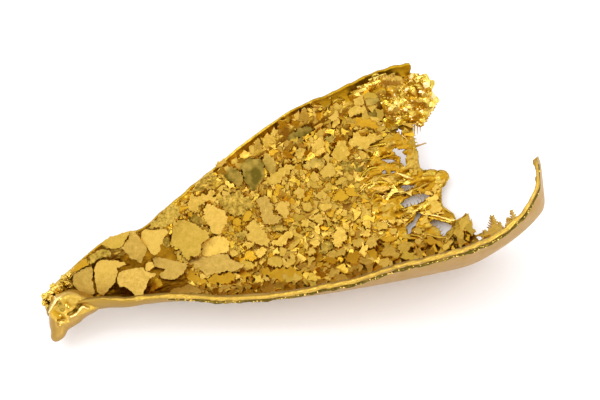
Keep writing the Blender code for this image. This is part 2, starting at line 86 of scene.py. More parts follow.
def laid_down(point):
    """Where a drawn point lies, in metres."""
    return LAY_DOWN @ Vector(point)


print("the tip lies at", laid_down((0, 0, 0)))

# %% [markdown]
# ## Camera
# The eye is in front of the specimen and looks down into it. A long lens from a metre away keeps the far
# end and the near end at one scale. The camera looks along the drawn z axis, so what is drawn is what it
# sees.

# %% Camera
LOOK_AT = (21.28, 0.43, -5.0)  # the middle of the view, in the drawn frame
VIEW_WIDTH = 46.15  # how much of the specimen's plane the view takes in
CAMERA_AWAY = 1000.0
SENSOR = 36.0
NEAREST = 0.01  # nothing nearer than this many metres is seen

camera_data = bpy.data.cameras.new("camera")
camera = bpy.data.objects.new("camera", camera_data)
bpy.context.collection.objects.link(camera)
to_eye = (laid_down((0, 0, 1)) - laid_down((0, 0, 0))).normalized()
camera.location = laid_down(LOOK_AT) + to_eye * CAMERA_AWAY * MM
camera.rotation_euler = to_eye.to_track_quat("Z", "Y").to_euler()
camera_data.sensor_width = SENSOR
camera_data.lens = CAMERA_AWAY * SENSOR / VIEW_WIDTH
camera_data.clip_start = NEAREST
bpy.context.scene.camera = camera
print("the camera looks down at", round(math.degrees(math.asin(to_eye.z)), 1), "degrees")

# %% [markdown]
# ## Light
# Bare gold shows nothing but what it mirrors, so the light is chosen for its shapes as much as for its
# strength. A pale room on all sides gives the even, pale gold of the plates. A large soft lamp at the upper
# left and a narrow one at the right give them their shading, and seven small lamps leave white glints on
# grains and edges.

# %% The room and its lamps
ROOM_COLOURS = ((0.0, (0.80, 0.79, 0.82, 1)), (0.9, (1.0, 1.0, 1.0, 1)))  # how far up, and the colour there
ROOM_STRENGTH = 1.25
# Name, place, aim, width and height in millimetres, watts.
LAMPS = (
    ("window", (-150, 160, 240), (20, 0, -5), (200, 160), 0.22),
    ("front strip", (120, -220, 160), (24, 0, -5), (50, 180), 0.2),
)
SPARKS = (
    (-90, 40, 280), (60, -180, 230), (230, 60, 200), (20, 150, 250), (-60, -150, 220), (140, -60, 270), (150, 180, 190)
)
SPARK_AIM, SPARK_SIZE, SPARK_WATTS = (22, 0, -5), (26, 26), 0.026

world = bpy.data.worlds.new("pale room")
world.use_nodes = True
bpy.context.scene.world = world
room = world.node_tree
sky = room.nodes["Background"]
place = room.nodes.new("ShaderNodeTexCoord")
split = room.nodes.new("ShaderNodeSeparateXYZ")
ramp = room.nodes.new("ShaderNodeValToRGB")
room.links.new(place.outputs["Generated"], split.inputs["Vector"])
room.links.new(split.outputs["Z"], ramp.inputs["Fac"])
room.links.new(ramp.outputs["Color"], sky.inputs["Color"])
for stop, (height, colour) in zip(ramp.color_ramp.elements, ROOM_COLOURS):
    stop.position, stop.color = height, colour
sky.inputs["Strength"].default_value = ROOM_STRENGTH


def add_lamp(name, spot, aim, sides, watts):
    """A rectangular soft lamp; spot and aim are drawn points."""
    data = bpy.data.lights.new(name, "AREA")
    data.shape = "RECTANGLE"
    data.size, data.size_y, data.energy = sides[0] * MM, sides[1] * MM, watts
    lamp = bpy.data.objects.new(name, data)
    lamp.location = laid_down(spot)
    lamp.rotation_euler = (laid_down(spot) - laid_down(aim)).to_track_quat("Z", "Y").to_euler()
    bpy.context.collection.objects.link(lamp)


for row in LAMPS:
    add_lamp(*row)
for number, spot in enumerate(SPARKS):
    add_lamp(f"spark {number}", spot, SPARK_AIM, SPARK_SIZE, SPARK_WATTS)
bpy.context.scene.view_settings.view_transform = "Standard"

# %% [markdown]
# ## Floor
# The specimen lies on a plain pale sheet, which is much wider than the view.

# %% Floor
FLOOR_SIDE = 700.0
FLOOR_COLOUR = (0.96, 0.955, 0.975, 1)
FLOOR_ROUGH = 0.9


def object_of(name, bm, collection=None):
    """An object made from a bmesh, which is used up."""
    mesh = bpy.data.meshes.new(name)
    bm.to_mesh(mesh)
    bm.free()
    made = bpy.data.objects.new(name, mesh)
    (collection or bpy.context.collection).objects.link(made)
    return made


floor_bm = bmesh.new()
bmesh.ops.create_grid(floor_bm, x_segments=2, y_segments=2, size=FLOOR_SIDE * MM / 2)
floor = object_of("floor", floor_bm)
sheet = bpy.data.materials.new("pale sheet")
sheet.use_nodes = True
sheet.node_tree.nodes["Principled BSDF"].inputs["Base Color"].default_value = FLOOR_COLOUR
sheet.node_tree.nodes["Principled BSDF"].inputs["Roughness"].default_value = FLOOR_ROUGH
floor.data.materials.append(sheet)
print("floor:", FLOOR_SIDE, "mm wide")

# %% [markdown]
# ## Gold
# Every finish here is the same metal, so one shader group holds what all of them share: the mottling that
# grown gold has, dark specks between its finest crystals, and a fine relief. It puts out a colour, a
# roughness and a height. Each material gives it two golds to mix and its own scales. The group reads
# Object coordinates, so the pattern stays on the metal. A tone that is written on the mesh for each
# crystal is mixed in too, because no two of the real plates are equally bright. On plate sides, sheets,
# the lip and bubble rims the tone also carries painted shade and painted highlight.

# %% The shared mottling
GROUP_SOCKETS = (
    ("INPUT", "NodeSocketColor", ("Light Gold", "Deep Gold")),
    ("INPUT", "NodeSocketFloat",
     ("Tone", "Mottle Scale", "Mottle Amount", "Grain Scale", "Specks", "Rough Low", "Rough High")),
    ("OUTPUT", "NodeSocketColor", ("Color",)),
    ("OUTPUT", "NodeSocketFloat", ("Roughness", "Height")),
)
GRAIN_SHARE = 0.5  # of the relief's height, beside the mottling


def new_node(tree, kind, values=None, **settings):
    """A node with settings of its own and values on its sockets."""
    node = tree.nodes.new(kind)
    for name, setting in settings.items():
        setattr(node, name, setting)
    for name, value in (values or {}).items():
        node.inputs[name].default_value = value
    return node


def new_math(tree, operation, *terms, clamp=False):
    """What a Math node makes of numbers and other nodes' outputs."""
    node = new_node(tree, "ShaderNodeMath", operation=operation, use_clamp=clamp)
    for socket, term in zip(node.inputs, terms):
        if isinstance(term, float):
            socket.default_value = term
        else:
            tree.links.new(term, socket)
    return node.outputs["Value"]


def new_range(tree, value, low, high):
    """A node that spreads a value from low and high over 0 to 1."""
    node = new_node(tree, "ShaderNodeMapRange", {"From Min": low, "From Max": high})
    tree.links.new(value, node.inputs["Value"])
    return node


def build_mottle_group():
    group = bpy.data.node_groups.new("grown gold", "ShaderNodeTree")
    for way, kind, names in GROUP_SOCKETS:
        for name in names:
            group.interface.new_socket(name=name, in_out=way, socket_type=kind)
    given = group.nodes.new("NodeGroupInput").outputs
    result = group.nodes.new("NodeGroupOutput").inputs
    where = group.nodes.new("ShaderNodeTexCoord").outputs["Object"]
    mottle = new_node(group, "ShaderNodeTexNoise", {"Detail": 5.0, "Roughness": 0.62})
    grain = new_node(group, "ShaderNodeTexVoronoi", feature="F1")
    for texture, scale in ((mottle, "Mottle Scale"), (grain, "Grain Scale")):
        group.links.new(where, texture.inputs["Vector"])
        group.links.new(given[scale], texture.inputs["Scale"])
    spread = new_range(group, mottle.outputs["Fac"], 0.32, 0.68).outputs["Result"]
    scaled = new_math(group, "MULTIPLY", spread, given["Mottle Amount"])
    toned = new_math(group, "ADD", scaled, given["Tone"], clamp=True)
    pits = new_range(group, grain.outputs["Distance"], 0.34, 0.10).outputs["Result"]
    speckled = new_math(group, "MULTIPLY_ADD", pits, given["Specks"], toned, clamp=True)
    mix = new_node(group, "ShaderNodeMix", data_type="RGBA")
    rough = new_range(group, mottle.outputs["Fac"], 0.3, 0.7)
    height = new_math(group, "MULTIPLY_ADD", grain.outputs["Distance"], GRAIN_SHARE, mottle.outputs["Fac"])
    for output, socket in (
        (speckled, mix.inputs["Factor"]), (given["Light Gold"], mix.inputs["A"]), (given["Deep Gold"], mix.inputs["B"]),
        (given["Rough Low"], rough.inputs["To Min"]), (given["Rough High"], rough.inputs["To Max"]),
        (mix.outputs["Result"], result["Color"]), (rough.outputs["Result"], result["Roughness"]),
        (height, result["Height"]),
    ):
        group.links.new(output, socket)
    return group


MOTTLE = build_mottle_group()
print("group sockets:", [item.name for item in MOTTLE.interface.items_tree])

# %% [markdown]
# Each finish is a material that mixes a light and a deep gold. The print of the glass is matte and pale.
# The ground and the fuzzy growth are speckled, and the plates are satin. Their edges get a brighter gold,
# which is painted light on the plates' sides. Grains and foil are nearly polished, and the folds' pale gold
# is a painted highlight. Deep trenches are painted brown, as painted shade where gold mirrors gold. The
# darkest finish is a painted reflection of a dark room, and painted shade in creases and furrows. A darker
# tan copy of the plate gold is painted shade on plates that lie deep, and the orange gold is painted shade there too.

# %% The finishes
RELIEF_DEEP = 0.00006  # metres


def gold_finish(name, light, deep, rough, mottle, grain, relief, amount=0.5, specks=0.0):
    """Gold mixed from a light and a deep colour; rough is a pair, mottle and grain are per metre."""
    material = bpy.data.materials.new(name)
    material.use_nodes = True
    tree = material.node_tree
    shader = tree.nodes["Principled BSDF"].inputs
    shader["Metallic"].default_value = 1.0
    shared = new_node(tree, "ShaderNodeGroup", {
        "Light Gold": (*light, 1), "Deep Gold": (*deep, 1), "Mottle Scale": mottle, "Mottle Amount": amount,
        "Grain Scale": grain, "Specks": specks, "Rough Low": rough[0], "Rough High": rough[1],
    }, node_tree=MOTTLE)
    tone = new_node(tree, "ShaderNodeAttribute", attribute_name="tone")
    bump = new_node(tree, "ShaderNodeBump", {"Strength": relief, "Distance": RELIEF_DEEP})
    for output, socket in (
        (tone.outputs["Fac"], shared.inputs["Tone"]), (shared.outputs["Height"], bump.inputs["Height"]),
        (shared.outputs["Color"], shader["Base Color"]), (shared.outputs["Roughness"], shader["Roughness"]),
        (bump.outputs["Normal"], shader["Normal"]),
    ):
        tree.links.new(output, socket)
    return material


GLASS_PRINT = gold_finish("glass print", (0.48, 0.295, 0.112), (0.40, 0.245, 0.045), (0.42, 0.55), 900, 9000, 0.12)
GROWN_FACE = gold_finish("grown face", (0.64, 0.42, 0.06), (0.38, 0.24, 0.015), (0.18, 0.34), 1800, 6000, 0.5)
# Painted shade: a dark brown gold for recesses and valleys, where gold mirrors gold.
PAINTED_SHADE_TRENCH = gold_finish("painted_shade_trench", (0.34, 0.165, 0.008), (0.17, 0.075, 0.003), (0.35, 0.50), 1200, 6000, 0.4)
GROUND = gold_finish("ground", (0.80, 0.54, 0.09), (0.40, 0.25, 0.024), (0.38, 0.55), 3200, 5200, 0.5, 0.8, 0.55)
FUZZY_FACE = gold_finish(
    "fuzzy growth", (0.66, 0.43, 0.075), (0.20, 0.125, 0.012), (0.38, 0.55), 3200, 5200, 0.6, 0.85, 0.6
)
BARE_STRIP = gold_finish(
    "bare strip", (0.96, 0.72, 0.09), (0.48, 0.285, 0.012), (0.40, 0.55), 2600, 5000, 0.35, 0.8, 0.3
)
PLATE_FACE = gold_finish(
    "plate face", (0.66, 0.42, 0.080), (0.46, 0.29, 0.034), (0.30, 0.45), 2800, 5500, 0.3, 0.7, 0.6
)
# Painted light: a brighter gold for the plates' sides and feet, which lifts the shade in the gaps.
PLATE_EDGE_PAINTED_LIGHT = gold_finish("plate edge painted light", (0.84, 0.57, 0.08), (0.60, 0.37, 0.028), (0.25, 0.45), 2500, 8000, 0.4)
# Painted shade: a darker copy of the plate gold, for plates that lie deep.
PAINTED_SHADE_TAN_FACE = gold_finish("painted shade tan face", (0.55, 0.35, 0.078), (0.39, 0.24, 0.038), (0.32, 0.48), 2800, 5500, 0.3, 0.7, 0.6)
# Painted shade on deep plates and in the lip's furrows; elsewhere an orange gold of its own.
ORANGE_FACE = gold_finish("orange face", (0.60, 0.34, 0.025), (0.42, 0.21, 0.008), (0.28, 0.42), 1500, 7000, 0.25)
# Painted reflection and shade: a dark mottled gold for a dark room mirrored on a few plates, and for shade in creases
# and furrows.
PAINTED_DARK_REFLECTION_AND_SHADE = gold_finish("painted dark reflection and shade", (0.64, 0.42, 0.08), (0.12, 0.085, 0.010), (0.30, 0.45), 620, 7000, 0.2, 1.0)
GLINT = gold_finish("bright grain", (0.86, 0.62, 0.15), (0.55, 0.385, 0.04), (0.05, 0.14), 3000, 9000, 0.3)
FOIL = gold_finish("crumpled foil", (0.92, 0.71, 0.16), (0.60, 0.42, 0.04), (0.12, 0.26), 1600, 8000, 0.2)
# Painted highlight: a pale, nearly white gold for polished crests, facets, some ribs and grains.
PAINTED_HIGHLIGHT_GOLD = gold_finish("painted highlight fold", (1.0, 0.80, 0.36), (0.90, 0.62, 0.15), (0.14, 0.26), 1500, 9000, 0.15)
print("finishes:", [material.name for material in bpy.data.materials])

# %% [markdown]
# ## Making objects from a drawn bmesh
# Each piece is drawn in millimetres in the drawn frame, and laid down when it becomes an object, so that
# the object itself sits at the origin, unturned and unscaled. The tone of each crystal is a number on its
# faces. Flat crystals, grains and foil keep their faces flat. The wall and the round growth, which are
# nodules, lip, ribs and bead, are shaded smooth. Every piece is declared as a part of the specimen.

# %% Helpers for pieces
def tone_layer(bm):
    """The face values that the materials read as tone."""
    return bm.faces.layers.float.get("tone") or bm.faces.layers.float.new("tone")


def paint(bm, faces, tone, finish):
    """Gives faces their tone, and the number of their finish."""
    tones = tone_layer(bm)
    for face in faces:
        face[tones] = tone
        face.material_index = finish


def make_piece(name, bm, finishes, smooth=False):
    """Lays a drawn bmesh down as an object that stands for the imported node."""
    bmesh.ops.recalc_face_normals(bm, faces=bm.faces)
    bmesh.ops.transform(bm, matrix=LAY_DOWN, verts=bm.verts)
    for v in bm.verts:
        v.co.z = max(v.co.z, 0.0)  # worn flat where it rests
    piece = object_of(name, bm)
    for finish in finishes:
        piece.data.materials.append(finish)
    for polygon in piece.data.polygons:
        polygon.use_smooth = smooth
    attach(piece, "root")
    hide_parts("gold_crystal")
    print(name, "has", sum(len(p.vertices) - 2 for p in piece.data.polygons), "triangles")


print("drawn values become metres, times", MM)

# %% [markdown]
# ## The wall
# The wall is the print of the ampoule's inside: a surface of revolution, cut lengthways. A row for each
# station along the axis says how wide it is and how far it climbs on each side. A profile could be spun,
# but the climb changes along the axis, so a flat grid is bent round it instead, and a cubic runs through
# the rows. The grid is fine, because the grown side gets real relief afterwards.

# %% Stations of the wall
# Place along the axis, outer radius, and the climb on the far and on the near side in degrees.
STATIONS = (
    (0.1, 1.35, 32, 96), (1.1, 1.6, 54, 106), (2.4, 1.85, 72, 111), (3.6, 2.1, 85, 110), (4.8, 2.35, 99, 103),
    (6.1, 2.74, 106, 95), (7.5, 2.97, 96, 90), (9.2, 3.35, 83, 86), (11.0, 3.98, 87, 79), (13.0, 4.83, 87, 75),
    (15.6, 5.7, 90, 74), (18.0, 6.38, 95, 76), (20.5, 6.97, 99, 80), (23.2, 7.5, 102, 82), (26.0, 8.02, 95, 89),
    (29.0, 8.5, 93, 90), (31.8, 8.82, 88, 90), (34.4, 8.45, 84, 88), (36.6, 7.8, 80, 90), (38.3, 6.95, 80, 100),
    (38.75, 6.35, 80, 102), (39.05, 5.3, 80, 105), (39.35, 4.2, 80, 108), (39.5, 3.6, 80, 110),
)
SWAY = 0.25  # the drawn tip leans this far to the far side
SWAY_ENDS = 9.0  # and is straight from here on
WALL = 0.44  # how thick the metal is


def held(value):
    """A value held between 0 and 1."""
    return min(max(value, 0.0), 1.0)


@functools.cache
def smooth_rows(rows, share):
    """The row at a share of the way along rows, by a cubic through them."""
    spots = [0.0]
    for a, b in zip(rows, rows[1:]):
        spots.append(spots[-1] + math.hypot(b[0] - a[0], b[1] - a[1]))
    at = share * spots[-1]
    i = min(max(k for k, spot in enumerate(spots) if spot <= at + 1e-9), len(rows) - 2)
    span = spots[i + 1] - spots[i]
    t = (at - spots[i]) / span

    def slope(k, c):
        lo, hi = max(k - 1, 0), min(k + 1, len(rows) - 1)
        return (rows[hi][c] - rows[lo][c]) / (spots[hi] - spots[lo]) * span

    return [
        (2 * t**3 - 3 * t**2 + 1) * rows[i][c] + (t**3 - 2 * t**2 + t) * slope(i, c)
        + (3 * t**2 - 2 * t**3) * rows[i + 1][c] + (t**3 - t**2) * slope(i + 1, c)
        for c in range(len(rows[0]))
    ]


def sway(along):
    """How far the axis of the drawn tip lies to the far side."""
    t = held(along / SWAY_ENDS)
    return SWAY * math.cos(t * math.pi / 2)


def radius_at(along):
    """The outer radius at a place along the axis."""
    for a, b in zip(STATIONS, STATIONS[1:]):
        if along <= b[0]:
            return a[1] + (b[1] - a[1]) * max(along - a[0], 0.0) / (b[0] - a[0])
    return STATIONS[-1][1]


def height_at(along, across, depth):
    """How high the wall lies under a drawn point, depth in from its outer face."""
    radius = radius_at(along) - depth
    return -math.sqrt(max(radius**2 - (across - sway(along))**2, (0.25 * radius) ** 2))


def over_ground(along, across, rise):
    """The drawn point that is so high over the grown side."""
    return Vector((along, across, height_at(along, across, WALL) + rise))


def rim_across(along, side):
    """Where the far rim (side 1) or the near one (side -1) is seen at a place along the axis."""
    spots = [(row[0], row[1], row[2] if side > 0 else -row[3]) for row in STATIONS]
    for a, b in zip(spots, spots[1:]):
        if along <= b[0]:
            t = max(along - a[0], 0.0) / (b[0] - a[0])
            radius, climb = a[1] + (b[1] - a[1]) * t, a[2] + (b[2] - a[2]) * t
            return radius * math.sin(math.radians(climb - LOOK_ROLL)) + sway(along)
    return 0.0


def share_of(along):
    """The share of the way along the profile at which a place along the axis lies."""
    return next(k / 800 for k in range(801) if smooth_rows(STATIONS, k / 800)[0] >= along)


print("radius in the middle:", smooth_rows(STATIONS, 0.5)[1])

# %% [markdown]
# The torn end is what is missing. Its outline and the holes in the lace are drawn looking into the hollow
# and cut through the wall with Boolean modifiers. Torn metal has no straight edges, so each outline is
# first broken up: a new corner goes between each two, pushed sideways by a share of their distance, and
# the same again on the finer edges. Where the outline would cross itself, its corners are pushed less.

# %% What is torn away
OPEN_END = (
    (32.75, 9.5), (32.85, 7.3), (32.65, 6.6), (33.1, 6.3), (33.5, 5.9), (33.6, 5.2), (33.4, 4.2), (32.9, 3.2),
    (31.9, 2.5), (31.4, 3.0), (31.3, 2.2), (31.1, 1.5), (31.05, 0.6), (30.85, -0.2), (30.75, -0.6), (31.3, -0.85),
    (32.0, -1.2), (32.65, -1.5), (32.7, -1.9), (32.4, -2.25), (31.85, -2.55), (31.6, -3.2), (31.4, -3.9),
    (31.6, -4.35), (31.95, -4.8), (32.0, -5.3), (32.5, -5.2), (32.95, -5.1), (33.0, -5.6), (32.85, -6.4),
    (33.0, -6.85), (34.0, -6.95), (35.5, -6.95), (36.7, -6.85), (37.3, -6.35), (38.0, -5.6), (38.5, -4.95),
    (38.8, -4.2), (38.9, -3.0), (39.1, -2.95), (42.0, -2.9), (42.0, 9.5),
)
# Below the finger, drawn from the near side: places along, and heights to the eye.
UNDER_FINGER = (
    (33.0, -12.0), (33.0, -5.6), (34.2, -4.0), (35.6, -3.0), (37.2, -2.0), (38.4, -0.8), (39.0, 0.3),
    (39.3, 1.0), (41.0, 1.3), (42.0, -12.0),
)
LACE_HOLES = (
    ((30.1, 2.8), (30.35, 2.95), (30.55, 2.7), (30.35, 2.4), (30.15, 2.5)),
    ((29.3, 1.5), (29.6, 1.65), (29.75, 1.4), (30.2, 1.3), (30.25, 1.15), (29.95, 1.1), (30.2, 0.75), (30.0, 0.5),
     (29.95, 0.05), (29.7, 0.0), (29.55, 0.4), (29.7, 0.8), (29.4, 1.1)),
    ((28.15, 1.2), (28.6, 1.15), (29.0, 1.0), (29.3, 0.6), (29.1, 0.45), (28.9, 0.55), (28.6, 0.7), (28.4, 0.95)),
    ((28.9, -1.3), (29.4, -1.4), (30.05, -1.55), (29.95, -1.75), (29.5, -1.85), (29.0, -1.8)),
    ((28.4, -2.6), (28.8, -2.4), (29.4, -2.3), (30.0, -2.35), (30.5, -2.5), (30.8, -2.75), (30.6, -3.0),
     (29.9, -3.1), (29.3, -3.15), (28.6, -3.0)),
    ((28.1, -5.05), (28.15, -4.4), (28.6, -4.2), (29.0, -4.1), (29.35, -3.6), (29.65, -3.5), (29.65, -3.95),
     (29.2, -4.3), (28.9, -4.6), (28.5, -4.8), (28.35, -5.05)),
    ((30.0, -4.75), (30.4, -4.6), (30.9, -4.95), (31.3, -5.25), (31.8, -5.6), (31.3, -5.8), (30.75, -6.1),
     (30.45, -5.9), (30.5, -5.5), (30.2, -5.2)),
    ((27.95, 0.25), (28.25, 0.28), (28.25, 0.02), (28.0, -0.02)),
    ((28.6, 0.02), (28.95, -0.1), (28.8, -0.27), (28.58, -0.18)),
    ((32.9, -7.05), (33.3, -7.1), (33.4, -7.35), (33.1, -7.4)),
)


def crosses_itself(spots):
    """Whether two sides of an outline that aren't neighbours meet."""
    sides = list(zip(spots, spots[1:] + spots[:1]))
    for k, (a, b) in enumerate(sides):
        for c, d in sides[k + 2:len(sides) - (k == 0)]:
            if intersect_line_line_2d(a, b, c, d):
                return True
    return False


def broken_up(outline, draw, push, rounds):
    """The outline with a pushed corner between each two, and so on for some rounds."""
    spots = [Vector(p) for p in outline]
    for _ in range(rounds):
        draws = [(draw.uniform(0.35, 0.65), draw.uniform(-push, push)) for _ in spots]
        for part in (1.0, 0.6, 0.3, 0.0):
            finer = []
            for a, b, (share, out) in zip(spots, spots[1:] + spots[:1], draws):
                edge = b - a
                finer += [a, a + edge * share + Vector((-edge.y, edge.x)) * out * part]
            if not crosses_itself(finer):
                break
        spots = finer
    return spots


print(len(LACE_HOLES), "holes are drawn in the lace")

# %% [markdown]
# A flat grid is bent into the outer face. Solidify gives it its thickness towards the hollow, and vertex
# weights say how much of it each place gets: the metal is thin in the lace and along the finger, and thick
# in a wedge below the far rim. The outlines then cut it, as prisms that reach through the wall. What the
# modifiers make is taken as a new bmesh, because relief comes on top of it.

# %% Bend, thicken and cut the wall
WALL_STEPS = ((290, 112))  # along and round
THICKEST = 0.80
RAGGED, RAGGED_FINE = 2.5, 0.7  # degrees by which the torn rims wander
TEAR_SEED = 5
# Outlines, how far their corners are pushed, rounds, how far the cutter reaches, and whether it is turned.
TEARS = (
    ((OPEN_END,), 0.16, 3, 8.0, False), ((UNDER_FINGER,), 0.06, 2, -1.0, True), (LACE_HOLES, 0.22, 2, -1.0, False)
)
CUT_FROM = -12.0


def wall_point(share, side):
    """A point of the outer face. side runs from -1 at the near rim to 1 at the far one."""
    along, radius, far, near = smooth_rows(STATIONS, share)
    ragged = RAGGED * side**6 * noise.noise(Vector((along * 0.9, side * 3, 0)))
    ragged += RAGGED_FINE * max(side, 0.0) ** 40 * noise.noise(Vector((along * 4.5, side * 3, 7)))
    turn = math.radians((far if side > 0 else near) * side + ragged - LOOK_ROLL)
    return Vector((along, radius * math.sin(turn) + sway(along), -radius * math.cos(turn)))


def thickness_at(share, side, spot):
    """The wall is thinner towards the finger's end and in the lace, and a wedge below the far rim."""
    finger = max(share - 0.75, 0.0) / 0.25
    lace = held((spot.x - 26.5) / 4.0) * max(1 - abs(side) ** 2 * 1.3, 0.0)
    far = held((side - 0.86) / 0.12)
    wide = held((spot.x - 11.0) / 3.0)
    swell = 0.8 * wide * max(1 - abs(side - 0.85) / 0.12, 0.0)
    return WALL * (1 - 0.25 * finger) * (1 - 0.35 * lace) * (1 + swell - 0.68 * far)


def bent_wall():
    """The outer face as an object, with the wall's thickness as vertex weights."""
    bm = bmesh.new()
    bmesh.ops.create_grid(bm, x_segments=WALL_STEPS[0], y_segments=WALL_STEPS[1], size=1.0)
    thick = []
    for v in bm.verts:
        share, side = round((v.co.x + 1) / 2, 5), v.co.y
        v.co = wall_point(share, side)
        thick.append(thickness_at(share, side, v.co))
    bm.normal_update()
    first = bm.faces[:][0]
    if first.normal.dot(first.calc_center_median() * Vector((0, 1, 1))) < 0:
        bmesh.ops.reverse_faces(bm, faces=bm.faces)
    wall = object_of("bent wall", bm)
    group = wall.vertex_groups.new(name="thickness")
    for index, value in enumerate(thick):
        group.add([index], value / THICKEST, "REPLACE")
    solid = wall.modifiers.new("wall", "SOLIDIFY")
    solid.thickness = THICKEST
    solid.offset = -1.0
    solid.vertex_group = group.name
    return wall


def extruded(bm, faces):
    """The faces at the end of an extrusion."""
    grown = bmesh.ops.extrude_face_region(bm, geom=faces)["geom"]
    return [part for part in grown if isinstance(part, bmesh.types.BMFace)]


def add_prism(tools, outline, reach, turned):
    """A cutter: an outline pushed to the eye or, when turned, across to the far side."""
    bm = bmesh.new()
    face = bm.faces.new([bm.verts.new((x, CUT_FROM, y) if turned else (x, y, CUT_FROM)) for x, y in outline])
    way = Vector((0, reach - CUT_FROM, 0)) if turned else Vector((0, 0, reach - CUT_FROM))
    bmesh.ops.translate(bm, vec=way, verts=extruded(bm, [face])[0].verts)
    bmesh.ops.recalc_face_normals(bm, faces=bm.faces)
    object_of("cutter", bm, tools)


def torn_wall():
    """The wall as a bmesh, thick and torn."""
    wall = bent_wall()
    draw = random.Random(TEAR_SEED)
    tools = bpy.data.collections.new("tools")
    bpy.context.scene.collection.children.link(tools)
    for outlines, push, rounds, reach, turned in TEARS:
        for outline in outlines:
            add_prism(tools, broken_up(outline, draw, push, rounds), reach, turned)
    cut = wall.modifiers.new("torn", "BOOLEAN")
    cut.operand_type = "COLLECTION"
    cut.collection = tools
    cut.solver = "EXACT"
    bm = bmesh.new()
    bm.from_mesh(wall.evaluated_get(bpy.context.evaluated_depsgraph_get()).to_mesh())
    for used in [wall, *tools.objects]:
        bpy.data.objects.remove(used)
    bpy.data.collections.remove(tools)
    return bm


wall_bm = torn_wall()
print("the torn wall has", len(wall_bm.faces), "faces")

# %% [markdown]
# The grown side is rough ground between the plates, packed with small crystals. A Displace modifier would
# move the smooth side as well, so each point asks how deep it lies below the outer face, and only the
# grown side is raised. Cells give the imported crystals, and a slow noise makes the ground uneven.

# %% Relief of the grown side
GRAIN = 0.42  # a packed crystal is about this wide
GRAIN_HIGH = 0.10
GROWN_FROM = 0.18  # points deeper than this below the outer face are on the grown side


def depth_in(spot):
    """How deep a point lies below the wall's outer face."""
    return radius_at(spot.x) - math.hypot(spot.y - sway(spot.x), spot.z)


def ground(spot):
    """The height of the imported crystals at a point, from -1 to 1."""
    near, second = noise.voronoi(spot / GRAIN)[0][:2]
    packed = 0.9 - 1.2 * near
    uneven = noise.noise(spot * 0.55) + 0.5 * noise.noise(spot * 1.7)
    return packed * min((second - near) * 4, 1.0) + 0.9 * uneven


def calm(spot):
    """How rough the ground is at a place: nothing on the finger and at the rims, most in the middle."""
    turn = abs(math.degrees(math.atan2(spot.y - sway(spot.x), -spot.z)) + LOOK_ROLL)
    rims = min(max((84 - turn) / 22, 0.12), 1.0)
    finger = min(max((34.6 - spot.x) / 1.2, 0.08), 1.0)
    return rims * finger


lifted = 0
for v in wall_bm.verts:
    if depth_in(v.co) > GROWN_FROM:
        inward = Vector((0, -(v.co.y - sway(v.co.x)), -v.co.z)).normalized()
        v.co += inward * GRAIN_HIGH * calm(v.co) * ground(v.co)
        lifted += 1
print(lifted, "points of the grown side were raised")

# %% [markdown]
# A face gets its finish by where it is and by the way that it faces. Outwards it is the print of the
# glass, which is more golden towards the tip. Inwards it is ground, or in the narrow half a dark brown
# finish that is painted shade. A bare strip follows the far rim, where the plates stop short, and it is
# deeper gold towards the corner.

# %% The wall becomes an object
STRIP_WIDE, STRIP_WIDENS = 0.6, 0.8  # the bare strip below the far rim, and how much more it is at the corner
STRIP_FROM = 11.5  # the strip begins here
TORN_WAYS = (-0.2, 0.6)  # faces between these two are torn edges: -1 faces the axis, 1 faces away from it


def bare_strip_at(along):
    """How wide the bare strip below the far rim is seen."""
    return STRIP_WIDE + STRIP_WIDENS * held((along - 25) / 3)


tones = tone_layer(wall_bm)
for face in wall_bm.faces:
    middle = face.calc_center_median()
    outwards = face.normal.dot(Vector((0, middle.y - sway(middle.x), middle.z)).normalized())
    grown = outwards < TORN_WAYS[0]
    torn = TORN_WAYS[0] <= outwards < TORN_WAYS[1] and middle.y > rim_across(middle.x, -1) + 0.6
    strip = middle.y > rim_across(middle.x, 1) - bare_strip_at(middle.x) and middle.x > STRIP_FROM
    # Painted shade: the ground of the narrow half takes the dark brown trench finish.
    painted_shade_trench = middle.x < 14.2 + noise.noise(middle) and middle.y < 0.15 * middle.x + 0.2
    face.material_index = (2 if strip else 3 if painted_shade_trench else 1) if grown else 2 if torn else 0
    golden = 0.2 + 0.7 * held((18.0 - middle.x) / 9.0)  # the print is more golden towards the tip
    face[tones] = 0.15 + 0.5 * noise.noise(middle * 0.8) if grown else golden
    if strip or torn:
        face[tones] += 0.95 * held((middle.x - 21.5) / 7.5)
make_piece("wall", wall_bm, [GLASS_PRINT, GROUND, BARE_STRIP, PAINTED_SHADE_TRENCH], smooth=True)

# %% [markdown]
# ## Crystal plates
# Each plate is a flat crystal that spreads over the ground on a narrower foot, so a deep gap stays around
# it where gold mirrors gold and turns brown. The large plates are drawn one by one, looking into the
# hollow, with the height of their top over the wall. A plate starts as one face with a broken-up outline.
# It is extruded down three times: a narrow chamfer that catches the light, the edge, and the foot.

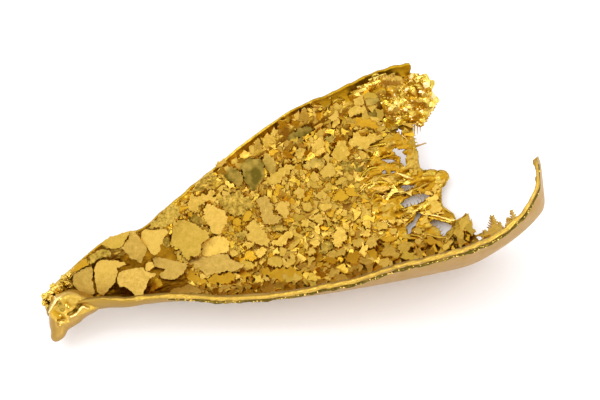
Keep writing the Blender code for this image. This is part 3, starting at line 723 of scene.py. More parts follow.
# %% The drawn plates
# Height of the top over the wall, then the outline's corners: along and across by turns.
PLATE_ROWS = (
    (0.3, 2.85, 0.9, 3, 1.15, 3.6, 1.25, 4.2, 1.35, 4.5, 1.3, 4.5, 0.95, 4.35, 0.6, 4.2, 0.2, 4.1, -0.3, 4.05, -0.7,
     3.85, -0.8, 3.5, -0.55, 3.15, -0.3, 2.9, 0, 2.75, 0.4),
    (0.4, 4.6, 0.95, 4.8, 1.2, 5.05, 1.4, 5.35, 1.5, 5.6, 1.45, 5.9, 1.3, 6.2, 1.15, 6.6, 1, 6.65, 0.85, 7, 0.7, 7.05,
     0.5, 6.6, 0.5, 6.3, 0.5, 6.25, 0.15, 5.95, -0.2, 5.8, -0.5, 5.4, -0.7, 5.15, -0.8, 4.9, -1, 4.6, -1.1, 4.35, -0.9,
     4.25, -0.6, 4.35, -0.2, 4.45, 0.3),
    (0.5, 5.85, 2.65, 6.3, 2.85, 6.8, 2.9, 7.3, 2.85, 7.9, 2.85, 8.3, 2.8, 8, 2.5, 7.7, 2.3, 7.5, 2.1, 7.3, 1.9, 6.95,
     1.9, 6.5, 2, 6.2, 2.3),
    (0.55, 7.05, 1.85, 7.4, 1.9, 7.6, 2.1, 7.95, 2.25, 8.15, 2.5, 8.35, 2.75, 8.6, 2.6, 8.65, 2.3, 8.75, 2.1, 8.8, 1.6,
     8.95, 1.3, 9, 1.15, 8.9, 0.9, 8.7, 0.7, 8.4, 0.45, 8.2, 0.2, 8.05, 0.3, 7.95, 0.55, 7.6, 0.75, 7.5, 1, 7.4, 1.3,
     7.25, 1.7),
    (0.45, 6.05, -0.25, 6.3, 0.05, 6.6, 0.15, 7, 0.1, 7.5, 0, 8, -0.1, 8.25, -0.2, 8.25, -0.5, 8.6, -0.75, 8.95, -1,
     8.75, -1.15, 8.4, -1.1, 8.15, -1.35, 7.9, -1.65, 7.6, -1.9, 7.5, -2.2, 7.2, -2.35, 6.9, -2.2, 6.85, -1.9, 6.75,
     -1.55, 6.55, -1.25, 6.35, -1.05, 6, -0.95, 6, -0.5),
    (0.65, 8.95, 2.2, 9.1, 2.4, 9.35, 2.5, 9.6, 2.4, 10, 2.2, 10.5, 2.15, 10.85, 1.95, 10.95, 1.7, 10.6, 1.45, 10.35,
     1.3, 10.3, 1.1, 10, 0.95, 9.95, 0.65, 9.6, 0.4, 9.35, 0.4, 9.15, 0.6, 9.1, 0.95, 9.05, 1.2, 8.8, 1.6, 8.8, 1.9),
    (0.75, 11, 1.1, 11.2, 1.5, 11.4, 1.9, 11.7, 2.15, 12, 2.25, 12.3, 2.2, 12.6, 2, 12.9, 1.7, 13.2, 1.45, 13.3, 1.15,
     13.6, 0.9, 13.85, 0.6, 13.75, 0.2, 13.4, 0.05, 12.95, 0, 12.9, -0.25, 12.75, -0.5, 12.7, -0.75, 12.4, -0.75, 12.1,
     -0.75, 11.9, -0.65, 11.7, -0.85, 11.5, -0.6, 11.3, -0.45, 11.25, 0.1, 11.2, 0.4, 10.8, 0.5, 10.8, 0.9),
    (0.9, 14.1, 2.4, 14.4, 2.6, 14.75, 2.55, 15, 2.3, 15.25, 2, 15.6, 1.6, 15.55, 1.3, 15.4, 0.85, 15, 0.5, 14.75, 0.2,
     14.5, 0.1, 14.1, 0.4, 14.05, 0.9, 14, 1.4, 13.85, 1.9),
    (0.8, 13, -0.1, 13.4, 0.05, 13.8, 0.1, 14.2, 0.2, 14.5, 0.05, 14.7, -0.15, 15, -0.35, 15.1, -0.7, 14.9, -1, 14.75,
     -1.35, 14.3, -1.3, 13.9, -1.2, 13.4, -1.2, 13, -1.1, 12.75, -0.9, 12.85, -0.5),
    (0.7, 11.5, -1.05, 11.75, -0.95, 12.2, -0.95, 12.6, -0.9, 13, -1.15, 13.5, -1.25, 14.2, -1.35, 14.6, -1.5, 14.7,
     -1.95, 15.05, -2.3, 15.6, -2.7, 15.2, -2.85, 14.6, -2.9, 14, -2.65, 13.2, -2.5, 12.6, -2.55, 12.4, -2.2, 12.2,
     -1.9, 11.85, -1.65, 11.65, -1.35),
    (0.6, 9.1, 0.2, 9.4, 0.25, 9.7, 0.1, 10, -0.1, 10.3, -0.3, 10.7, -0.6, 11.1, -0.9, 11.4, -1, 11.35, -1.3, 11, -1.6,
     10.75, -1.75, 10.2, -1.85, 9.8, -1.75, 9.5, -1.6, 9.2, -1.4, 9.2, -1.1, 9.6, -1, 9.75, -0.9, 9.5, -0.7, 9.3, -0.6,
     9.05, -0.4, 9.1, -0.1),
    (0.7, 8.3, -0.3, 8.5, 0, 8.75, 0.1, 9, -0.05, 9, -0.45, 8.7, -0.5, 8.6, -0.6, 8.3, -0.55),
    (0.1, 9.7, 2.5, 10.2, 2.85, 11, 3.1, 12, 3.5, 12.4, 3.2, 12.3, 2.7, 12, 2.4, 11.3, 2.2, 10.8, 2.2, 10.2, 2.3),
    (0.1, 4.5, 1.5, 4.7, 2.05, 5.4, 2.3, 5.8, 2.25, 6.3, 1.8, 6.2, 1.5, 5.7, 1.65, 5.2, 1.65, 4.8, 1.5),
    (0.1, 10.25, 1, 10.4, 1.35, 10.8, 1.3, 10.75, 0.7, 10.4, 0.6),
    (0.1, 12.5, 1.4, 12.9, 2.2, 13.3, 2.3, 13.6, 1.8, 13.5, 1.2, 13.2, 1.3),
    (0.1, 2.7, 1.4, 3.3, 1.7, 4, 1.95, 4.4, 2, 4.4, 1.5, 3.6, 1.35),
    (0.25, 8, -2.1, 8.3, -1.7, 8.7, -1.4, 8.95, -1.3, 9.1, -1.5, 9.15, -1.95, 8.6, -2.05),
    (0.25, 9.4, -2.7, 9.6, -2.55, 9.9, -2.5, 10.3, -2.6, 10.7, -2.65, 11.1, -2.6, 11.3, -2.75, 11.5, -3, 11.7, -3.3,
     11.8, -3.5, 11.3, -3.5, 10.8, -3.25, 10.2, -3.05, 9.8, -2.95),
    (0.15, 10.9, -1.85, 11.4, -1.75, 11.9, -2.2, 12.3, -2.9, 12, -2.95, 11.5, -2.6, 11.1, -2.25),
    (0.55, 12.5, -2.7, 13, -2.6, 13.7, -2.75, 14.4, -3, 14.6, -3.3, 14.3, -3.55, 13.6, -3.5, 12.9, -3.35, 12.5, -3.1),
    (0.4, 12.6, -3.45, 13.3, -3.6, 14, -3.75, 13.7, -3.95, 12.9, -3.8),
    (0.4, 14.6, -3.1, 15.1, -3, 15.5, -3.3, 15.85, -3.6, 15.1, -3.75, 14.75, -3.5),
    (0.6, 14.95, -2.8, 15.3, -2.45, 15.9, -2.55, 16.6, -2.85, 16.35, -3.15, 15.8, -3.2, 15.3, -3),
    (0.6, 12.95, 3, 13.2, 3.3, 13.5, 3.7, 13.7, 3.85, 13.9, 3.5, 14.3, 3.45, 14.9, 3.5, 15.4, 3.5, 15.3, 3.15, 14.9,
     2.95, 14.3, 2.9, 13.9, 2.8, 13.5, 2.4, 13.2, 2.6),
    (0.15, 13.6, 4, 14.3, 4.35, 15.2, 4.65, 15.8, 4.8, 15.9, 4.3, 15.3, 3.9, 14.5, 3.7, 14.1, 3.8),
    (0.2, 16.15, 5.05, 16.5, 5.25, 16.95, 5.4, 17, 5.05, 16.5, 4.98),
    (0.9, 16.5, 4.5, 16.7, 4.85, 17, 4.85, 17.3, 4.5, 17.6, 4.4, 17.8, 4, 17.75, 3.5, 17.5, 3.05, 17.2, 3.05, 16.95,
     3.4, 16.7, 3.8, 16.55, 4),
    (0.7, 16.3, 3.8, 16.6, 3.75, 16.85, 3.5, 17.05, 3.1, 16.7, 3.15, 16.4, 3.45),
    (1.05, 17.7, 4.5, 17.9, 4.75, 18.4, 4.85, 18.9, 4.7, 19.2, 4.6, 19.6, 4.3, 19.65, 3.9, 19.45, 3.5, 19.4, 3.15,
     18.9, 2.95, 18.6, 2.65, 18.3, 2.35, 18, 2.4, 17.95, 2.9, 17.8, 3.3, 17.85, 3.9),
    (0.8, 19.7, 4.4, 19.95, 4.8, 20.3, 4.6, 20.5, 4.1, 20.6, 3.7, 20.4, 3.3, 20.1, 3.05, 19.8, 3.2, 19.7, 3.8),
    (0.75, 19, 2.6, 19.4, 2.75, 19.8, 3, 20.6, 3.25, 21.2, 3.4, 22, 3.2, 21.6, 2.85, 21, 2.75, 20.6, 2.35, 20.1, 2.15,
     19.7, 2.3, 19.3, 2.45),
    (0.5, 19.25, 5.45, 19.5, 5.75, 19.9, 5.9, 20, 5.4, 20, 5.1, 19.7, 5, 19.5, 5.2),
    (0.5, 20.15, 5.9, 20.6, 6, 21.1, 5.95, 21.2, 5.6, 21.15, 5.15, 20.8, 5.2, 20.4, 5.3, 20.15, 5.5),
    (0.9, 18.15, 1.6, 18.5, 1.75, 18.9, 1.7, 19.05, 1.2, 19, 0.5, 18.95, 0.1, 19.3, -0.1, 19.5, -0.35, 19.2, -0.55,
     18.8, -0.6, 18.4, -0.55, 18.05, -0.1, 18, 0.3, 18.15, 0.6, 18.1, 1.1),
    (0.85, 19.2, 0.35, 19.5, 0.7, 19.9, 0.85, 20.45, 0.7, 20.45, 0.4, 20.15, 0.2, 20.15, -0.2, 19.95, -0.5, 19.65,
     -0.5, 19.5, -0.1),
    (0.6, 15.5, 2.85, 16.3, 2.9, 17.2, 2.8, 17.3, 2.4, 17.7, 2, 17.9, 1.4, 17.6, 1.1, 17, 1.05, 16.4, 0.95, 16, 1.15,
     15.6, 1.6, 15.4, 2.3),
    (0.75, 16.6, 0.1, 17, 0.1, 17.6, 0.4, 17.6, -0.2, 17.75, -0.7, 17.95, -1.2, 17.95, -1.8, 17.7, -2.1, 17.3, -1.85,
     16.9, -1.5, 16.5, -1.1, 16.45, -0.7, 16.8, -0.4),
    (0.7, 16.2, -1.1, 16.45, -1.2, 16.8, -1.5, 16.55, -1.7, 16.2, -1.75, 16.15, -1.4),
    (0.5, 15.7, -0.1, 16.4, -0.2, 16.6, -0.5, 16.25, -1, 15.9, -0.7),
    (0.6, 14.8, -1.4, 15.1, -1.25, 15.4, -1.7, 15.15, -1.95, 14.85, -1.8),
    (0.55, 15.6, -2.2, 16, -1.85, 16.5, -2.05, 16.65, -2.55, 16.2, -2.7, 15.8, -2.5),
    (0.75, 16.65, -2.2, 16.9, -1.95, 17.25, -1.9, 17.5, -2.3, 17.2, -2.5, 16.85, -2.7),
    (0.75, 17.2, -3.3, 17.35, -3, 17.7, -2.9, 18, -3, 18.35, -3.15, 18.3, -3.6, 18, -3.85, 17.7, -3.75, 17.45, -3.5),
    (0.65, 18.2, -3.95, 18.5, -3.75, 18.7, -3.5, 19.2, -3.15, 19.45, -3.4, 19.2, -3.9, 18.8, -4.1, 18.5, -4.1),
    (0.7, 18.05, -1.85, 18.6, -1.85, 19, -1.6, 19.4, -1.5, 19.9, -1.4, 19.9, -1.9, 19.3, -2.1, 18.5, -2.25, 18.1,
     -2.15),
    (0.6, 18.3, -0.7, 18.9, -0.7, 19.5, -1, 19.6, -1.3, 19, -1.2, 18.5, -1),
    (0.6, 15.85, 0.5, 15.95, 0.8, 16.3, 0.85, 16.5, 0.55, 16.4, 0.2, 16.05, 0.15),
    (0.6, 16.6, 0.55, 16.8, 0.9, 17.2, 1.1, 17.45, 1.05, 17.35, 0.6, 17.05, 0.35, 16.75, 0.3),
    (0.45, 16, -3.95, 16.6, -3.65, 17.2, -3.7, 18, -4, 19, -4.35, 19.7, -4.7, 19.4, -5, 18.4, -4.85, 17.6, -4.75, 17,
     -4.25, 16.4, -4.1),
    (0.55, 17.9, -4.5, 18.1, -4.45, 18.4, -4.85, 18, -4.9),
    (0.4, 16.1, -4.95, 16.5, -4.8, 17, -5, 16.95, -5.4, 16.5, -5.4, 16.2, -5.2),
    (0.5, 19.3, -4.7, 19.7, -4.55, 20.1, -4.8, 19.7, -5),
    (0.6, 20.2, -3.6, 20.6, -3.3, 21, -3.5, 21, -3.85, 20.5, -3.85),
    (0.65, 20.8, -2.9, 21.2, -2.8, 21.6, -3.1, 21.4, -3.45, 21, -3.3),
    (0.65, 21.15, 0.1, 21.5, 0.1, 22, 0, 22, -0.35, 21.7, -0.65, 21.3, -0.45),
    (0.8, 22.45, -3.4, 22.7, -3, 23.1, -2.8, 23.15, -2.45, 23.5, -2.55, 23.7, -3, 23.6, -3.6, 23.2, -3.85, 22.75,
     -4.05, 22.5, -3.8),
    (0.6, 21, 1.1, 21.2, 1.35, 21.6, 1.4, 21.85, 1.1, 21.75, 0.6, 21.4, 0.5, 21.1, 0.7),
    (0.55, 21.55, 0.55, 22.2, 0.6, 22.3, 0.3, 21.8, 0.15, 21.5, 0.3),
    (0.65, 22.4, 0.65, 22.75, 0.4, 23.2, 0.4, 23.45, 0.1, 23.2, -0.25, 22.8, -0.1, 22.5, 0.2),
    (0.65, 23.1, 0.5, 23.5, 0.85, 23.95, 1, 24, 0.65, 23.65, 0.35, 23.3, 0.35),
    (0.6, 24.3, 0.9, 25, 0.95, 25.2, 0.6, 24.7, 0.45, 24.35, 0.5),
    (0.75, 22.4, 2.9, 23, 2.95, 23.6, 3, 24, 2.75, 23.8, 2.4, 23.4, 2.25, 22.9, 2.5, 22.5, 2.6),
    (0.6, 22.6, 1.9, 23, 2.2, 23.3, 1.85, 23.25, 1.4, 22.85, 1.3),
    (0.75, 23.45, 1.7, 23.8, 2.1, 24.2, 2.35, 24.6, 2.1, 24.65, 1.6, 24.5, 1.3, 24, 1.35, 23.6, 1.3),
    (0.9, 24.7, 2.85, 25, 3.05, 25.3, 3.4, 25.7, 3.65, 26.1, 3.5, 26.1, 3, 26, 2.3, 25.6, 2.1, 25.1, 2.15, 24.9, 2.5),
    (0.7, 23.55, 4.2, 24, 4.3, 24.5, 4.4, 24.6, 4, 24.5, 3.7, 24, 3.6, 23.6, 3.7),
    (0.8, 24.2, 4.9, 24.6, 4.95, 25.1, 4.85, 24.8, 4.5, 24.45, 4.35, 24.25, 4.6),
    (0.85, 26.3, 3.2, 26.7, 3.45, 26.9, 3.85, 27.15, 3.8, 27.4, 3.4, 27.9, 3.25, 28.5, 3.15, 29, 3, 28.6, 2.7, 28.1,
     2.75, 27.8, 2.35, 27.4, 2.3, 27.2, 2.6, 26.8, 2.85, 26.4, 2.8),
    (0.5, 27.15, 5.05, 27.25, 5.6, 27.5, 5.95, 27.9, 6, 28.15, 5.7, 28.35, 5.1, 27.9, 4.98, 27.5, 5.1),
    (0.45, 25.6, 5.7, 25.75, 5.9, 26.1, 6, 26.4, 5.8, 26.4, 5.3, 26, 5.2, 25.6, 5.25),
    (0.7, 23.65, -0.35, 24, -0.1, 24.6, 0, 24.8, -0.4, 24.9, -0.75, 24.3, -0.8, 23.85, -0.65),
    (0.75, 24.75, -0.3, 25.1, 0, 25.4, -0.1, 25.5, -0.45, 25.8, -0.95, 25.3, -0.8, 24.95, -0.6),
    (0.55, 22.4, -0.9, 22.6, -0.4, 23, -0.55, 23.4, -0.9, 22.9, -1),
    (0.65, 21.5, -1, 22, -1.05, 22.3, -1.1, 22.6, -1.6, 22.35, -1.8, 22.1, -1.95, 21.85, -1.6),
    (0.55, 20.8, -1.1, 21.3, -1.15, 21.45, -1.5, 21.1, -1.7, 20.7, -1.5),
    (0.6, 23, -1.95, 23.2, -1.75, 23.5, -1.95, 23.35, -2.15),
    (0.55, 23.8, -1.8, 24.1, -1.4, 24.4, -1.6, 24.3, -2),
    (0.5, 21.1, -3.9, 21.5, -3.4, 22, -3.2, 22.35, -3.4, 22.35, -3.9, 21.7, -4.1),
    (0.55, 21.7, -4.3, 22.2, -4.1, 22.8, -4.25, 23.3, -4.4, 22.9, -4.75, 22.45, -4.65, 22, -4.7),
    (0.45, 21.3, -4.4, 21.8, -4.35, 22.3, -4.85, 22.1, -5.1, 21.6, -4.9),
    (0.6, 22.9, -4.85, 23.5, -4.7, 24, -4.8, 24.1, -5.2, 23.8, -5.5, 23.6, -5.7, 23.2, -5.4, 22.95, -5.2),
    (0.55, 24, -5.4, 24.3, -5.45, 24.65, -5.65, 24.8, -6.2, 24.3, -6.1, 24, -5.8),
    (0.65, 23.9, -4.1, 24.3, -3.95, 24.7, -4, 24.9, -4.35, 24.6, -4.6, 24.2, -4.6, 23.95, -4.4),
    (0.6, 25.1, -2.95, 25.4, -2.8, 25.75, -2.9, 25.8, -3.2, 25.5, -3.5, 25.2, -3.4),
    (0.65, 24.6, -3.7, 25, -3.75, 25.3, -3.45, 25.55, -3.6, 25.45, -4, 24.9, -4),
    (0.75, 24.8, -4.45, 25.1, -4.15, 25.5, -4.15, 25.85, -4.45, 25.6, -4.6, 25.6, -4.9, 25.2, -4.95, 24.9, -4.8),
    (0.55, 24.6, -5, 25.3, -5.05, 25.4, -5.4, 25.3, -5.9, 24.9, -6, 24.8, -5.6),
    (0.75, 25.6, -5.6, 25.9, -5.4, 26.3, -5.2, 26.6, -5.3, 26.8, -5.7, 26.9, -6.2, 26.5, -6.35, 26.3, -6, 25.9, -5.9),
    (0.75, 27.05, -5.6, 27.3, -5.4, 27.5, -5.2, 27.8, -5.5, 28.1, -5.6, 28.3, -6, 27.8, -6.05, 27.5, -6.2, 27.1, -6.35,
     27.1, -5.95),
    (0.65, 26.05, -3.5, 26.3, -3.3, 26.65, -3.35, 26.95, -3.7, 26.8, -4, 26.4, -3.9, 26.1, -3.85),
    (0.6, 27.05, -3.3, 27.45, -3.4, 27.7, -3.8, 27.3, -3.9),
    (0.6, 26.85, -4.3, 27.2, -4.15, 27.5, -4.3, 27.3, -4.6, 26.95, -4.55),
    (0.5, 26, -4.5, 26.8, -4.6, 27.4, -4.85, 27, -5, 26.3, -4.9),
    (0.4, 21.6, 5.45, 22, 5.6, 22.6, 5.55, 23.3, 5.65, 23.8, 5.55, 24.2, 5.2, 23.9, 4.95, 23.2, 4.95, 22.5, 5, 22,
     5.15),
    (0.5, 22.3, 4.75, 22.8, 4.95, 23.15, 4.85, 23, 4.6, 22.6, 4.55),
    (0.55, 22.1, 3.8, 22.4, 4, 22.95, 4.05, 22.85, 3.5, 22.4, 3.35),
    (0.55, 23.15, 3.4, 23.6, 3.45, 24, 3.6, 24.55, 3.5, 24.4, 3.15, 23.9, 3.2, 23.4, 3.2),
    (0.6, 24.1, 2.9, 24.5, 3.1, 24.75, 2.65, 24.4, 2.4),
    (0.4, 24.65, 4.2, 25, 4.35, 25.55, 4.3, 25.4, 3.95, 25.1, 3.75, 24.9, 3.9),
    (0.4, 24, 5.8, 24.3, 6.1, 24.8, 6.15, 24.75, 5.7, 24.4, 5.5),
    (0.5, 27.05, 4.85, 27.6, 4.9, 28.2, 4.7, 28.6, 4.1, 29, 3.6, 28.6, 3.4, 28.1, 3.9, 27.4, 4.3, 27, 4.2),
    (0.35, 26.25, 2, 26.7, 2.1, 27.2, 1.7, 27, 1.3, 26.5, 1.25, 26.2, 1.6),
    (0.35, 25, 1.9, 25.6, 2, 26, 1.8, 25.9, 1.2, 25.3, 1.2, 25, 1.5),
    (0.35, 28.7, 5.9, 29.2, 6.2, 29.7, 5.9, 29.6, 5.4, 29.1, 5.2, 28.6, 5.4),
    (0.35, 28.5, 4.7, 29, 4.9, 29.3, 4.6, 29.1, 4.25, 28.7, 4.3),
    (0.3, 26.1, 1.25, 26.5, 1.45, 26.75, 1.1, 26.4, 0.8, 26.1, 0.95),
    (0.3, 30, -0.05, 30.45, 0.1, 30.65, -0.3, 30.45, -0.85, 30, -0.8),
    (0.35, 29.95, -3.75, 30.5, -3.3, 31, -3.05, 31.2, -2.3, 31.6, -2.15, 31.35, -3.2, 31.25, -4.1, 31, -4.35, 30.5,
     -4.15),
    (0.4, 29.3, -4.5, 29.7, -4.15, 29.95, -4.1, 29.95, -4.5, 29.6, -4.8, 29.4, -4.85),
    (0.4, 28.6, -4.95, 28.9, -4.65, 29.15, -4.75, 29.4, -5.1, 28.9, -5.25),
    (0.06, 33.3, -7.4, 33.45, -7, 33.9, -6.95, 34.1, -6.7, 34.55, -6.5, 34.8, -6.75, 35.1, -6.9, 35.2, -7.4),
    (0.06, 35.3, -7.25, 35.3, -6.9, 35.75, -6.8, 36.1, -6.6, 36.35, -6.7, 36.6, -6.85, 36.5, -7.25),
    (0.25, 28, -1.2, 28.3, -1.15, 28.6, -1.45, 28.9, -1.6, 28.9, -1.85, 28.4, -1.75, 28.1, -1.6),
    (0.35, 28.1, -0.35, 28.5, -0.1, 28.65, -0.6, 28.6, -1, 28.4, -0.9, 28.2, -0.6),
    (0.3, 28.9, 0.3, 29.1, 0.5, 29.35, 0.25, 29.3, 0, 29, 0.05),
    (0.2, 30.1, -1.05, 30.6, -0.8, 31.1, -1, 31.5, -1.25, 31.5, -1.5, 31, -1.75, 30.3, -1.8, 30, -1.6),
    (0.25, 31.2, -2.3, 31.5, -2.2, 31.75, -2.4, 31.6, -2.8, 31.25, -2.85, 31.15, -2.6),
    (0.3, 27.4, -2.2, 27.9, -2.15, 28.2, -2.5, 27.9, -2.9, 27.4, -2.85, 27.1, -2.5),
    (0.3, 26.3, 0.15, 27, 0.1, 27.8, -0.05, 27.3, -0.3, 26.5, -0.15),
    (0.3, 29.8, 2.4, 30.3, 2.3, 30.3, 1.8, 30, 1.5, 29.75, 1.9),
    (0.3, 30.3, 0.75, 30.8, 0.9, 30.85, 0.4, 30.5, 0.2),
    (0.25, 31.95, -6.2, 32.1, -5.5, 32.5, -5.3, 32.9, -5.15, 32.95, -5.6, 32.7, -6.2),
    (0.3, 31.5, -1.55, 32.1, -1.45, 32.55, -1.7, 32.3, -2.05, 31.8, -2.15),
)
PLATES = [(row[0], tuple(zip(row[1::2], row[2::2]))) for row in PLATE_ROWS]
print(len(PLATES), "plates are drawn")

# %% [markdown]
# A plate faces a way between the wall's own and the eye's, as a crystal does that grew into the open. It
# stands so high that none of its corners dips into the ground. All plates of a list grow in one bmesh: an
# extrusion copies every face of it, and each copy is then sized and dropped for its own plate.

# %% How a plate is made
PLATE_FOOT = 0.62  # the foot is this much narrower than the plate
PLATE_THICK = 0.16
CHAMFER = 0.03
CORNER_CLEAR = 0.10  # a plate bridges the hollow so that every corner clears the wall by this much
PLATE_FACING = 0.45  # 0 lies along the wall, 1 faces the eye
# Painted shade: the sides of plates are mixed this much deeper than their tops.
EDGE_PAINTED_SHADE_TONE = 0.25  # edges are deeper than tops


def facing_at(along, across):
    """The direction in which a plate that grew there faces."""
    off = Vector((0, -(across - sway(along)), -height_at(along, across, WALL))).normalized()
    far_side = across > 1.5 and along < 13 or across > 5.0 and along > 25
    eyeward = PLATE_FACING + (0.4 if far_side else -0.25 if across < -1.2 else 0.0)
    return off.lerp(Vector((0, 0, 1)), eyeward).normalized()


def inside(point, outline):
    """Whether a drawn point lies inside an outline."""
    found = False
    for (x0, y0), (x1, y1) in zip(outline, outline[1:] + outline[:1]):
        if (y0 > point[1]) != (y1 > point[1]):
            found ^= point[0] < (x1 - x0) * (point[1] - y0) / (y1 - y0) + x0
    return found


def clear_of_holes(spot):
    """Whether there is still metal at a drawn place."""
    return not inside(spot, OPEN_END) and not any(inside(spot, hole) for hole in LACE_HOLES)


def middle_of(outline):
    """The mean of an outline's corners."""
    return sum((Vector(p) for p in outline), Vector((0, 0))) / len(outline)


def plan(outline, rise, facing, tone, thick=PLATE_THICK, foot=PLATE_FOOT, top=0):
    """What is settled about a plate before it grows; top is the finish of its face."""
    return dict(outline=outline, rise=rise, facing=facing, tone=tone, thick=thick, foot=foot, top=top)


def top_of(bm, plate):
    """The plate's top face: its drawn outline, lifted over the wall and leaned to face its way."""
    facing, middle = plate["facing"], middle_of(plate["outline"])
    tilts = [-facing.xy.dot(Vector(spot) - middle) / facing.z for spot in plate["outline"]]
    over_corners = [height_at(x, y, WALL + CORNER_CLEAR) - tilt for (x, y), tilt in zip(plate["outline"], tilts)]
    top_height = max(height_at(middle.x, middle.y, WALL) + plate["rise"] / max(facing.z, 0.5), *over_corners)
    corners = [bm.verts.new((x, y, top_height + tilt)) for (x, y), tilt in zip(plate["outline"], tilts)]
    plate["size"] = max((v.co - corners[0].co).length for v in corners)
    return bm.faces.new(corners)


def rings_below(bm, faces, plates, which, share, drop):
    """Extrudes every face, sizes each copy about its middle by its plate's share, and drops it."""
    lower = extruded(bm, faces)
    for face in lower:
        plate = plates[face[which]]
        middle = face.calc_center_median()
        for v in face.verts:
            v.co = middle + (v.co - middle) * share(plate) + drop(plate)
    return lower


def grow(plates):
    """All plates of a list in one bmesh: tops, chamfers, edges and feet, with tones and finishes."""
    bm = bmesh.new()
    tones = tone_layer(bm)
    which = bm.faces.layers.int.new("which")
    tops = [top_of(bm, plate) for plate in plates]
    for k, top in enumerate(tops):
        top[which] = k
    chamfers = rings_below(
        bm, tops, plates, which, lambda p: 1 + 2 * CHAMFER / p["size"], lambda p: -p["facing"] * CHAMFER
    )
    edges = rings_below(bm, chamfers, plates, which, lambda p: 0.98, lambda p: -p["facing"] * (p["thick"] - CHAMFER))
    feet = rings_below(bm, edges, plates, which, lambda p: p["foot"], lambda p: Vector((0, 0, 0)))
    bmesh.ops.delete(bm, geom=chamfers + edges, context="FACES_ONLY")  # they are inside now
    for face in feet:
        for v in face.verts:
            v.co.z = height_at(v.co.x, v.co.y, WALL * 0.55)
    # Painted light and shade: sides and feet take the brighter edge gold, mixed deeper by the edge tone.
    for face in bm.faces:
        face[tones] = plates[face[which]]["tone"] + EDGE_PAINTED_SHADE_TONE
        face.material_index = 1
    for top in tops:
        for face in {side for v in top.verts for side in v.link_faces}:
            face[tones] = plates[top[which]]["tone"]
            face.material_index = plates[top[which]]["top"]
    return bm


print("a plate that grew on the far wall faces", facing_at(20, 5))

# %% [markdown]
# The real plates differ in finish as well as in shape. Most are satin. A few get a dark mottled gold that
# is a painted reflection of a dark corner of the room, some are grown over with fine branches, some that
# lie deep get an orange or tan gold that is painted shade, and some are pale. A point inside a plate's
# outline picks its finish. The plates of the tip are less ragged than the others, and stand on a narrower
# foot.

# %% Grow the drawn plates
PLATE_SEED = 21
EDGE_PUSHES = (0.16, 0.50, 0.42)  # how far new corners are pushed, from coarse to fine
CALM_UNTIL, CALM_PUSH = 11.0, 0.5  # nearer to the tip, new corners are pushed half as far
WIDE_FOOT_FROM, WIDE_FOOT = 14.0, 0.92
PALE_TONE = -0.25
# Plates that take the painted dark reflection.
PAINTED_DARK_REFLECTION_SPOTS = (
    (18.6, 3.6), (17.0, 4.2), (22.8, 5.3), (22.7, 4.75), (23.2, 2.7), (29.1, 5.6), (25.1, 4.1), (28.9, 4.6),
    (26.4, 1.2), (20.1, 4.0),
)
FUZZY_SPOTS = (
    (11.0, 2.7), (5.0, 1.9), (10.5, 1.0), (13.2, 1.9), (16.5, 2.0), (16.2, -0.5), (26.7, 1.7), (25.5, 1.6),
    (14.6, 4.1), (21.7, -3.8), (18.9, -1.0),
)
# Plates that lie deep and are painted orange as shade.
PAINTED_SHADE_ORANGE_SPOTS = (
    (3.6, 1.6), (8.7, -1.7), (11.5, -2.1), (13.5, -3.1), (15.2, -3.4), (18.0, -4.3), (16.2, -2.3), (21.8, -4.7),
    (23.4, -5.2), (24.2, -0.4), (25.2, -0.4), (21.9, 0.4), (28.0, 4.4), (26.7, -4.75), (25.0, -5.6), (16.2, 0.5),
    (17.0, 0.7),
)
# Plates that lie deep and are painted tan as shade.
PAINTED_SHADE_TAN_SPOTS = ((7.2, -1.0), (13.5, -1.9), (10.3, -1.1), (8.1, 1.4), (3.4, 0.6), (18.7, 0.3))
PALE_SPOTS = ((5.5, 0.5), (9.6, 1.6), (14.7, 1.3), (14.0, -0.6), (19.8, 0.3), (8.7, -0.2), (26.0, 5.6))
PLATE_LOOKS = ((PAINTED_DARK_REFLECTION_SPOTS, 2), (FUZZY_SPOTS, 3), (PAINTED_SHADE_ORANGE_SPOTS, 4), (PAINTED_SHADE_TAN_SPOTS, 5))  # the finish for each
PLATE_FINISHES = [PLATE_FACE, PLATE_EDGE_PAINTED_LIGHT, PAINTED_DARK_REFLECTION_AND_SHADE, FUZZY_FACE, ORANGE_FACE, PAINTED_SHADE_TAN_FACE]


def holds_one(outline, spots):
    """Whether any of the spots lies inside an outline."""
    return any(inside(spot, outline) for spot in spots)


def drawn_plates():
    draw = random.Random(PLATE_SEED)
    planned = []
    for rise, outline in PLATES:
        middle = middle_of(outline)
        lean = Vector((draw.uniform(-0.09, 0.09), draw.uniform(-0.09, 0.09), 0))
        tone = draw.choice((0.0, 0.05, 0.15, 0.25))
        if holds_one(outline, PALE_SPOTS):
            tone = PALE_TONE
        edge = outline
        for push in EDGE_PUSHES:
            edge = broken_up(edge, draw, push * (CALM_PUSH if middle.x < CALM_UNTIL else 1.0), 1)
        top = next((finish for spots, finish in PLATE_LOOKS if holds_one(outline, spots)), 0)
        foot = PLATE_FOOT if middle.x < WIDE_FOOT_FROM else WIDE_FOOT
        planned.append(plan(edge, rise, (facing_at(*middle) + lean).normalized(), tone, foot=foot, top=top))
    return planned


make_piece("plates", grow(drawn_plates()), PLATE_FINISHES)

# %% [markdown]
# The wide end is crowded with hundreds of smaller plates that lean every way. They are thrown over the
# ground by a seeded draw, where no large plate lies, and each is kept only if it stands clear of the ones
# already there by most of its own size. A real specimen has no two alike, so corners, height, lean and
# tone are drawn too. Narrow shards lie lengthways between the holes of the torn end.

